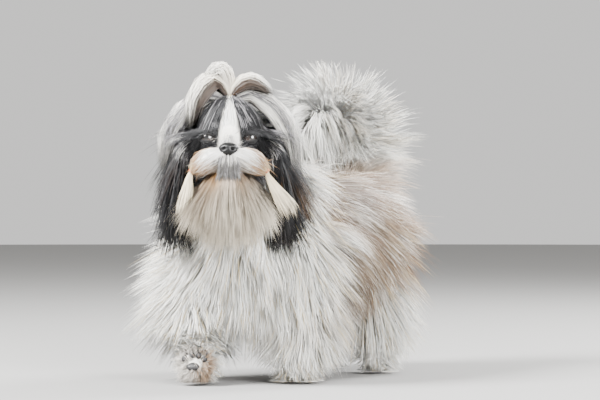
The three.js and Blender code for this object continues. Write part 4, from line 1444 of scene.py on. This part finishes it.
class DOG_OT_coat_ears(bpy.types.Operator):
    """The dark hair that hangs from the ears"""

    bl_idname = "dog.coat_ears"
    bl_label = "Ears"
    bl_options = {"REGISTER", "UNDO"}

    def execute(self, context):
        skin, rng, count = surface(), draws("coat_ears"), density(sizes().ears)
        on = is_part(skin.part, "ear_left", "ear_right")
        guide_roots, roots = scattered(on, count, HEAD_HAIRS_PER_GUIDE, rng)
        x, y, z = guide_roots.head.T
        aim = ways(np.where(x < 0, -0.06, 0.2), 0.012 * y, -1)
        aim += rng.normal(0, 0.06, aim.shape)
        length = np.clip(150 + z, 62, 96) * rng.uniform(0.85, 1.1, len(x))
        hover = 9 * (0.4 + 0.6 * rng.random(len(x)))
        guides = combed(guide_roots, head_aims(aim), length, stand=0.3, hover=hover, fall=0.3)
        paths, outs, level = grown(guides, guide_roots, roots, rng, lift=6, wave=3, stray=0.05)
        tones = tones_for(roots, level, rng, root=0.9, spread=0.15)
        spot(tones, rng, 0.08, "grey", True, 0.5, 0.4)
        root_tone, tip_tone = tones
        tones = [root_tone, tip_tone * 0.45]
        width = rng.uniform(0.7, 1.1, count)
        add_coat("coat_ears", "black_coat", paths, outs, width, tones, roots.patches())
        return {"FINISHED"}


class DOG_OT_coat_muzzle(bpy.types.Operator):
    """The short hair of the muzzle, combed from the nose to the two elastics"""

    bl_idname = "dog.coat_muzzle"
    bl_label = "Muzzle"
    bl_options = {"REGISTER", "UNDO"}

    def execute(self, context):
        skin, rng, total = surface(), draws("coat_muzzle"), density(sizes().muzzle)
        muzzle = is_part(skin.part, "muzzle", "lobe_left", "lobe_right")
        x, y, z = skin.head.T
        under = muzzle & (np.abs(x) < 10) & (z < -18) & (y < -50)
        for sign, name in ((1, "coat_muzzle_left"), (-1, "coat_muzzle_right")):
            self.half(name, muzzle & ~under & (sign * x > -3), sign, int(total * 0.4), rng)
        self.lip(under, int(total * 0.2), rng)
        return {"FINISHED"}

    @staticmethod
    def half(name, on, sign, count, rng):
        guide_roots, roots = scattered(on, count, 3, rng)
        x, y, z = BAND_AT
        band = head_point(sign * x, y, z) + rng.normal(0, 0.8, (len(guide_roots.at), 3))
        guides = gathered(guide_roots, band, hover=3.5)
        paths, outs, level = grown(
            guides, guide_roots, roots, rng, rings=3, lift=3.2, wave=0.7, clump=0.82, short=0.35, stray=0.1
        )
        tones = tones_for(roots, level, rng, root=0.92, spread=0.12)
        width = rng.uniform(0.5, 0.9, count)
        add_coat(name, "white_coat", paths, outs, width, tones, roots.patches())

    @staticmethod
    def lip(on, count, rng):
        """The grey tuft under the nose."""
        guide_roots, roots = scattered(on, count, 4, rng)
        aim = ways(guide_roots.head[:, 0] * 0.05, -0.25, -1)
        guides = combed(guide_roots, head_aims(aim), 24, stand=0.5, hover=3, fall=0.2)
        paths, outs, level = grown(guides, guide_roots, roots, rng, rings=3, lift=1.5, wave=0.4, clump=0.5)
        tones = tones_for(roots, level, rng, root=0.9, spread=0.1)
        spot(tones, rng, 0.3, "grey", True, 0.5, 0.9)
        width = rng.uniform(0.5, 0.8, count)
        add_coat("coat_lip", "silver_coat", paths, outs, width, tones, roots.patches())


class DOG_OT_coat_beard(bpy.types.Operator):
    """The beard, tan at the chin and pale at its tips"""

    bl_idname = "dog.coat_beard"
    bl_label = "Beard"
    bl_options = {"REGISTER", "UNDO"}

    def execute(self, context):
        skin, rng, count = surface(), draws("coat_beard"), density(sizes().beard)
        x, y, z = skin.head.T
        throat = is_part(skin.part, "muzzle", "skull") & (z < -33) & (y > -62) & (y < -30)
        on = (is_part(skin.part, "jaw") | throat) & ((np.abs(x) < 17) | (y < -44))
        guide_roots, roots = scattered(on, count, HEAD_HAIRS_PER_GUIDE, rng)
        aim = ways(0.014 * guide_roots.head[:, 0], -0.32, -1)
        aim += rng.normal(0, 0.06, aim.shape)
        length = 96 * rng.uniform(0.85, 1.08, len(aim))
        hover = 16 * (0.4 + 0.6 * rng.random(len(aim)))
        guides = combed(guide_roots, head_aims(aim), length, stand=0.35, hover=hover, fall=0.35)
        paths, outs, _ = grown(guides, guide_roots, roots, rng, rings=3, lift=6, wave=1.8, clump=0.5)
        x = roots.head[:, 0]
        root_tone = blend(coat_colour("tan"), coat_colour("fawn"), soft_step(4, 18, x))
        root_tone = blend(root_tone, coat_colour("white"), 0.35 * soft_step(12, 4, np.abs(x)))
        tip_tone = np.tile(blend(coat_colour("white"), coat_colour("cream"), 0.45), (count, 1))
        uneven = rng.uniform(0.75, 1.02, (count, 1))
        tones = [root_tone * uneven, tip_tone * (0.7 + 0.3 * uneven)]
        width = rng.uniform(0.6, 0.95, count)
        add_coat("coat_beard", "cream_coat", paths, outs, width, tones, roots.patches(), ["beard"])
        return {"FINISHED"}


# Tied hair: bundles along a centre line, with knots (x, y, z, half width, half height) in the head's
# frame, from the elastic. After its knots, each lobe of the topknot has its part of all the hairs, how
# high its dark underside reaches and the way that sets its breadth.
TIED = (0, 0, -1, 3.6, 3.6)
FORWARDS, SIDEWAYS = (0, -1, 0), (1, 0, 0)
TOPKNOT = (
    (
        [
            TIED,
            (-9, 0, 18, 10, 9),
            (-23, 0, 22, 19, 14),
            (-38, -2, 6, 20, 13),
            (-47, -4, -14, 16, 9),
            (-50, -4, -40, 7, 3),
        ],
        0.34,
        0.0,
        FORWARDS,
    ),
    (
        [
            TIED,
            (8, 0, 12, 10, 8),
            (20, 0, 20, 16, 11),
            (33, 0, 20, 16, 10),
            (45, -1, 13, 12, 6),
            (56, -2, 4, 4, 2),
        ],
        0.24,
        0.35,
        FORWARDS,
    ),
    (
        [TIED, (0, 8, 14, 12, 8), (0, 20, 20, 24, 9), (0, 36, 8, 32, 9), (0, 47, -14, 30, 5)],
        0.2,
        -1.0,
        SIDEWAYS,
    ),
    (
        [TIED, (-2, 0, 18, 9, 9), (-8, -2, 32, 15, 12), (-18, -4, 34, 16, 10), (-32, -6, 22, 12, 4)],
        0.22,
        -0.6,
        FORWARDS,
    ),
)
# Hair that starts behind the band and falls over the left side of the head
CROWN_WIDTH = 84.0
CROWN = [
    (0.04 * CROWN_WIDTH, -16, 58, 5, 2.5),
    (0.26 * CROWN_WIDTH, -8, 66, 14, 8),
    (0.56 * CROWN_WIDTH, -2, 56, 24, 12),
    (0.84 * CROWN_WIDTH, 0, 30, 30, 13),
    (1.0 * CROWN_WIDTH, 0, -4, 28, 10),
    (1.03 * CROWN_WIDTH, -2, -36, 22, 5),
]
# The ends of the moustache, on the dog's left and right
TASSELS = {
    "left": [
        (0, 0, 1, 2.4, 2.4),
        (3, -2, -8, 3.4, 3.2),
        (15.3, -6, -28, 8, 4),
        (27.2, -7, -46, 11, 4),
        (34, -5, -60, 9, 3),
    ],
    "right": [
        (0, 0, 1, 2.4, 2.4),
        (-3, -2, -8, 3.4, 3.2),
        (-5.4, -6, -28, 6, 4),
        (-9.6, -7, -46, 7, 4),
        (-12, -5, -60, 4, 3),
    ],
}


def bundle(
    knots,
    count,
    rings,
    rng,
    origin=(0, 0, 0),
    across=FORWARDS,
    face=(0, 0, 1),
    short=0.75,
    loose=1.3,
):
    """Hairs that fill a soft bundle. Gives their paths, the way out of it and how near its face each lies."""
    knots = np.array(knots, float)
    knots[:, :3] += origin
    share = np.linspace(0, 1, rings + 1)[None] * rng.uniform(short, 1.02, count)[:, None]
    line = smooth_line(knots, np.clip(share, 0, 1) * (len(knots) - 1))
    centre, half_width, half_height = line[..., :3], line[..., 3], line[..., 4]
    way = unit(np.gradient(centre, axis=1))
    side = unit(np.cross(way, np.cross(np.array(across, float), way)))
    up = np.cross(side, way)
    turn, far = rng.uniform(0, 2 * math.pi, count), np.sqrt(rng.random(count))
    u, v = (far * np.cos(turn))[:, None], (far * np.sin(turn))[:, None]
    path = centre + side * (u * half_width)[..., None] + up * (v * half_height)[..., None]
    path += rng.normal(0, loose, (count, 1, 3)) * (share**1.5)[..., None]
    facing = np.sign(up @ np.array(face, float))[..., None]
    out = unit(side * u[..., None] + up * v[..., None] + 0.9 * facing * up)
    return path @ HEAD_ROTATION.T + HEAD_AT, out @ HEAD_ROTATION.T, v[:, 0] * facing[:, 2, 0]


class DOG_OT_topknot(bpy.types.Operator):
    """The tied topknot that falls to both sides of its elastic, and the loose hair behind the band"""

    bl_idname = "dog.topknot"
    bl_label = "Topknot"
    bl_options = {"REGISTER", "UNDO"}

    def execute(self, context):
        rng, total = draws("coat_topknot"), density(sizes().topknot)
        lobes = [self.lobe(rng, total, *shape) for shape in TOPKNOT]
        paths, outs, root_tones, tip_tones, patches = (np.concatenate(v) for v in zip(*lobes))
        tones = capped([root_tones, tip_tones], PALEST_TIED)
        width = rng.uniform(0.8, 1.3, len(paths))
        add_coat("coat_topknot", "white_coat", paths, outs, width, tones, patches, ["topknot"])
        for side, name in ((1, "coat_crown_left"), (-1, "coat_crown_right")):
            self.crown(name, side, density(sizes().crown), rng)
        return {"FINISHED"}

    @staticmethod
    def lobe(rng, total, knots, part_of_all, dark_from, across):
        """Paths, ways out, root and tip colours and patches of one lobe, dark on its underside."""
        white, cream = coat_colour("white"), coat_colour("cream")
        brown, dark = coat_colour("brown"), coat_colour("charcoal")
        count = int(total * part_of_all)
        path, out, level = bundle(knots, count, 5, rng, origin=KNOT_AT, across=across, loose=1.8)
        under = soft_step(dark_from, dark_from - 0.3, level + rng.normal(0, 0.1, count))
        low = blend(brown, dark, rng.random(count) * 0.7)
        top = np.tile(white, (count, 1)) * rng.uniform(0.85, 1.02, (count, 1))
        root_tone = blend(blend(top, cream, 0.5), low, under)
        tip_tone = blend(top, low, under * 0.9)
        turn = np.arctan2(path[:, 2, 1] - path[:, 0, 1], path[:, 2, 0] - path[:, 0, 0])
        return path, out, root_tone, tip_tone, patches_on("forelock", rng.uniform(0.85, 1, count), turn)

    @staticmethod
    def crown(name, side, count, rng):
        """Pale hair with dark streaks over one side of the head."""
        knots = [(side * x, y, z, w, h) for x, y, z, w, h in CROWN]
        paths, outs, _ = bundle(knots, count, 4, rng, face=(side * 0.7, -0.3, 1), short=0.6, loose=2.5)
        pale = coat_colour("white") * rng.uniform(0.65, 1, (count, 1))
        dark = coat_colour("grey") * rng.uniform(0.12, 0.9, (count, 1))
        streak = ripple(in_head(paths[:, 2]) * (0.3, 1, 0.3), 10, 33) + rng.normal(0, 0.25, count)
        tone = blend(pale, dark, soft_step(0.15, 0.5, streak + (side < 0) * 0.35))
        patches = patches_on("skull", rng.uniform(0.3, 0.7, count), side * rng.uniform(0.3, 1.5, count))
        width = rng.uniform(0.7, 1.1, count)
        # The roots by the band are a little darker, as painted shade.
        add_coat(name, "silver_coat", paths, outs, width, [tone * 0.95, tone], patches)


class DOG_OT_tassels(bpy.types.Operator):
    """The tied ends of the moustache"""

    bl_idname = "dog.tassels"
    bl_label = "Moustache ends"
    bl_options = {"REGISTER", "UNDO"}

    def execute(self, context):
        rng, count = draws("coat_moustache"), density(sizes().tassels) // 2
        x, y, z = BAND_AT
        shape = {"across": SIDEWAYS, "face": FORWARDS, "short": 0.5, "loose": 3.0}
        for side, name in ((1, "left"), (-1, "right")):
            paths, outs, _ = bundle(TASSELS[name], count, 5, rng, origin=(side * x, y, z), **shape)
            base = coat_colour("cream") * rng.uniform(0.7, 1.1, (count, 1))
            # The roots by the elastic are a little darker, as painted shade.
            tones = capped([base * 0.95, blend(base, coat_colour("white"), 0.35)], PALEST_TIED)
            patches = patches_on(f"lobe_{name}", rng.uniform(0.9, 1, count), rng.uniform(-3, 3, count))
            width = rng.uniform(0.6, 1.0, count)
            nodes = [f"moustache_{name}"]
            add_coat(f"coat_moustache_{name}", "cream_coat", paths, outs, width, tones, patches, nodes)
        return {"FINISHED"}


# Small pieces


class DOG_OT_eyes(bpy.types.Operator):
    """Wet dark eyes behind black lids"""

    bl_idname = "dog.eyes"
    bl_label = "Eyes"
    bl_options = {"REGISTER", "UNDO"}

    def execute(self, context):
        rim = grained("Eye rim", (0.05, 0.04, 0.04), 0.8, 1200, 0.15)
        for side, name in ((1, "left"), (-1, "right")):
            centre = HEAD_TO_ROW @ Vector((side * EYE_AT[0], EYE_AT[1], EYE_AT[2]))
            gaze = Vector(head_aim(side * 0.18, -1, 0.02))
            bm = bmesh.new()
            self.add_sphere(bm, centre, gaze, EYE_RADIUS, 28)
            ball = finished(bm, f"eyeball_{name}")
            wet = eye_material(centre, gaze, f"Eye {name}")
            add_piece(f"eyeball_{name}", ball, wet, "eye", [f"eye_{name}"])
            self.lids(side, name, centre, gaze, rim)
        return {"FINISHED"}

    @staticmethod
    def add_sphere(bm, centre, axis, radius, rows):
        turn = axis.to_track_quat("Z", "Y").to_matrix().to_4x4()
        matrix = Matrix.Translation(centre) @ turn
        bmesh.ops.create_uvsphere(bm, u_segments=40, v_segments=rows, radius=radius * MM, matrix=matrix)

    @classmethod
    def lids(cls, side, name, centre, gaze, rim):
        """Two shells over the eyeball, each cut off along its own edge."""
        level = Vector(head_aim(1, 0, side * 0.12))
        bm = bmesh.new()
        for tilt, keep in ((17, 1), (-20, -1)):
            shell = bmesh.new()
            cls.add_sphere(shell, centre, level, EYE_RADIUS + 0.35, 24)
            edge = Matrix.Rotation(math.radians(-tilt), 3, level) @ gaze
            cut = level.cross(edge) * keep
            if cut.dot(Vector(HEAD_ROTATION[:, 2])) * keep < 0:
                cut.negate()
            for point, way in ((centre, cut), (centre - gaze * 2 * MM, gaze)):
                geom = shell.verts[:] + shell.edges[:] + shell.faces[:]
                bmesh.ops.bisect_plane(shell, geom=geom, plane_co=point, plane_no=way, clear_inner=True)
            bmesh.ops.recalc_face_normals(shell, faces=shell.faces)
            bmesh.ops.solidify(shell, geom=shell.faces[:], thickness=-1.1 * MM)
            made = bpy.data.meshes.new("lid half")
            shell.to_mesh(made)
            shell.free()
            bm.from_mesh(made)
            bpy.data.meshes.remove(made)
        bmesh.ops.recalc_face_normals(bm, faces=bm.faces)
        add_piece(f"lids_{name}", finished(bm, f"lids_{name}"), rim, "leather")


class DOG_OT_nose(bpy.types.Operator):
    """The black nose with its nostrils and the groove between them"""

    bl_idname = "dog.nose"
    bl_label = "Nose"
    bl_options = {"REGISTER", "UNDO"}

    def execute(self, context):
        bm = bmesh.new()
        bmesh.ops.create_uvsphere(bm, u_segments=72, v_segments=48, radius=1)
        for vert in bm.verts:
            vert.co = self.carved(*vert.co)
        bmesh.ops.transform(bm, matrix=HEAD_TO_ROW @ Matrix.Translation(NOSE_AT), verts=bm.verts)
        leather = grained("Nose leather", (0.02, 0.02, 0.022), 0.38, 850, 0.3, Specular_IOR_Level=0.35)
        add_piece("nose_leather", finished(bm, "nose_leather"), leather, "leather", ["nose"])
        return {"FINISHED"}

    @staticmethod
    def carved(x, y, z):
        """A point of the unit ball, moved to the surface of the nose in millimetres."""
        pit = math.exp(-(((abs(x) - 0.46) / 0.17) ** 2) - ((z + 0.02 + 0.25 * (abs(x) - 0.46)) / 0.2) ** 2)
        slit = math.exp(-((x / 0.07) ** 2)) * min(1, max(0, 0.3 - z))
        push = 0.42 * pit + 0.22 * slit if y < 0 else 0
        flare = 0.08 * math.exp(-(((abs(x) - 0.72) / 0.2) ** 2) - ((z + 0.1) / 0.4) ** 2)
        wide = 1 + 0.12 * z
        return Vector((x * wide * (1 + flare) * 12.3, (y + push) * 9, z * 8.6 * (1 - 0.1 * x * x)))


class DOG_OT_paw(bpy.types.Operator):
    """The pads and claws of the lifted paw"""

    bl_idname = "dog.paw"
    bl_label = "Pads and claws"
    bl_options = {"REGISTER", "UNDO"}

    def execute(self, context):
        self.pads()
        self.claws()
        return {"FINISHED"}

    @staticmethod
    def pads():
        bm = bmesh.new()
        for x, z, size in TOES:
            add_ball(bm, (x, -8.5, z), (size, 3.6, size * 1.1), PAW, 32, 20)
        add_ball(bm, (0, -9.5, -8.5), (9, 3.8, 5.5), PAW, 40, 24)
        leather = grained("Pad leather", (0.10, 0.095, 0.10), 0.55, 700, 0.4)
        nodes = [f"toe_pad_{i}" for i in range(1, 5)]
        add_piece("pads", finished(bm, "pads"), leather, "leather", [*nodes, "heel_pad"])

    @staticmethod
    def claws():
        """Tapered, bent claws over the toes."""
        rings = 9
        bm = bmesh.new()
        for x, z, _ in TOES:
            bent = [(x, -1, z + 7), (x, -8, z + 12), (x, -13, z + 10.5)]
            line = smooth_line(bent, np.linspace(0, 2, rings))
            way = unit(np.gradient(line, axis=0))
            matrices = []
            for i, share in enumerate(np.linspace(1, 0.12, rings)):
                turn = Vector(way[i]).to_track_quat("Z", "X").to_matrix().to_4x4()
                radius = 2.2 * share**0.7
                thin = Matrix.Diagonal((radius, radius, 1, 1))
                matrices.append(PAW @ Matrix.Translation(line[i]) @ turn @ thin)
            add_rings(bm, matrices, 14)
        bmesh.ops.recalc_face_normals(bm, faces=bm.faces)
        horn = plain("Claw", linear((0.16, 0.13, 0.12)), Roughness=0.3, Coat_Weight=0.3)
        add_piece("claws", finished(bm, "claws"), horn, "claw", [f"claw_{i}" for i in range(1, 5)])


class DOG_OT_elastics(bpy.types.Operator):
    """The small elastics of the topknot and the moustache"""

    bl_idname = "dog.elastics"
    bl_label = "Elastics"
    bl_options = {"REGISTER", "UNDO"}

    def execute(self, context):
        straw, orange = (0.80, 0.70, 0.42), (0.80, 0.33, 0.14)
        x, y, z = BAND_AT
        self.wound("topknot_band", KNOT_AT, (0, 0, 1), 4.6, 1.0, straw)
        for side, name in ((1, "left"), (-1, "right")):
            self.wound(f"moustache_band_{name}", (side * x, y, z), (side, 0, -0.9), 3.4, 0.9, orange)
        return {"FINISHED"}

    @staticmethod
    def wound(node, centre, axis, radius, thick, colour):
        """Three turns of a round elastic, side by side."""
        bm = bmesh.new()
        full = {"cent": (0, 0, 0), "axis": (0, 0, 1), "angle": 2 * math.pi, "steps": 36, "use_merge": True}
        for turn in (-1, 0, 1):
            at = Matrix.Translation((radius, 0, turn * thick * 1.5)) @ Matrix.Rotation(math.pi / 2, 4, "X")
            ring = bmesh.ops.create_circle(bm, segments=10, radius=thick, matrix=at)["verts"]
            edges = list({e for v in ring for e in v.link_edges})
            bmesh.ops.spin(bm, geom=ring + edges, **full)
        bmesh.ops.remove_doubles(bm, verts=bm.verts, dist=1e-5)
        bmesh.ops.recalc_face_normals(bm, faces=bm.faces)
        turn = Vector(axis).to_track_quat("Z", "Y").to_matrix().to_4x4()
        bmesh.ops.transform(bm, matrix=HEAD_TO_ROW @ Matrix.Translation(centre) @ turn, verts=bm.verts)
        rubber = plain(f"Elastic {node}", linear(colour), Roughness=0.45)
        add_piece(f"elastic_{node}", finished(bm, node), rubber, "elastic", [node])


class DOG_OT_stage(bpy.types.Operator):
    """The pale floor, the soft lights and the camera"""

    bl_idname = "dog.stage"
    bl_label = "Stage"
    bl_options = {"REGISTER", "UNDO"}

    def execute(self, context):
        self.floor()
        world = bpy.data.worlds.new("Pale room")
        world.use_nodes = True
        background = world.node_tree.nodes["Background"]
        background.inputs["Color"].default_value = (0.90, 0.89, 0.875, 1)
        background.inputs["Strength"].default_value = 1.0
        context.scene.world = world
        for name, (place, watts, width) in LAMPS.items():
            self.lamp(name, place, watts, width)
        self.camera(context.scene)
        return {"FINISHED"}

    @staticmethod
    def floor():
        bm = bmesh.new()
        bmesh.ops.create_circle(bm, cap_ends=True, segments=96, radius=12)
        pale = plain("Pale floor", (0.25, 0.247, 0.24), Roughness=0.9)
        floor = add_piece("floor", finished(bm, "floor"), pale)

    @staticmethod
    def lamp(name, place, watts, width):
        light = bpy.data.lights.new(name, "AREA")
        light.shape = "DISK"
        light.size = width
        light.energy = watts
        lamp = bpy.data.objects.new(name, light)
        lamp.location = place
        lamp.rotation_euler = (Vector((0, 0, 0.2)) - Vector(place)).to_track_quat("-Z", "Y").to_euler()
        bpy.context.scene.collection.objects.link(lamp)

    @staticmethod
    def camera(scene):
        data = bpy.data.cameras.new("camera")
        data.lens = LENS
        data.sensor_width = 36
        camera = bpy.data.objects.new("camera", data)
        scene.collection.objects.link(camera)
        sideways, forwards = math.sin(CAMERA_AZIMUTH), math.cos(CAMERA_AZIMUTH)
        at = (CAMERA_DISTANCE * sideways, -CAMERA_DISTANCE * forwards, CAMERA_HEIGHT)
        camera.location = placed(at)
        look = Vector((-sideways, forwards, math.tan(CAMERA_PITCH)))
        camera.rotation_euler = look.to_track_quat("-Z", "Y").to_euler()
        data.clip_start, data.clip_end = 0.1, 50
        scene.camera = camera


OPERATORS = (
    DOG_OT_skin,
    DOG_OT_eyes,
    DOG_OT_nose,
    DOG_OT_paw,
    DOG_OT_elastics,
    DOG_OT_coat_sides,
    DOG_OT_coat_breast,
    DOG_OT_coat_legs,
    DOG_OT_coat_tail,
    DOG_OT_coat_head,
    DOG_OT_coat_ears,
    DOG_OT_coat_muzzle,
    DOG_OT_coat_beard,
    DOG_OT_topknot,
    DOG_OT_tassels,
    DOG_OT_stage,
)


class DOG_PT_panel(bpy.types.Panel):
    """The steps that dress the dog, in order"""

    bl_idname = "DOG_PT_panel"
    bl_label = "Shih tzu"
    bl_space_type = "VIEW_3D"
    bl_region_type = "UI"
    bl_category = "Shih tzu"

    def draw(self, context):
        for group in (context.scene.dog_colours, context.scene.dog_sizes):
            column = self.layout.column()
            for name in group.__annotations__:
                column.prop(group, name)
        for operator in OPERATORS:
            self.layout.operator(operator.bl_idname)


CLASSES = (DogCoatColours, DogCoatSizes, *OPERATORS, DOG_PT_panel)


def register():
    for cls in CLASSES:
        bpy.utils.register_class(cls)
    bpy.types.Scene.dog_colours = PointerProperty(type=DogCoatColours)
    bpy.types.Scene.dog_sizes = PointerProperty(type=DogCoatSizes)


def unregister():
    del bpy.types.Scene.dog_sizes
    del bpy.types.Scene.dog_colours
    for cls in reversed(CLASSES):
        bpy.utils.unregister_class(cls)


def main():
    register()
    for operator in OPERATORS:
        group, name = operator.bl_idname.split(".")
        getattr(getattr(bpy.ops, group), name)()


if __name__ == "__main__":
    main()
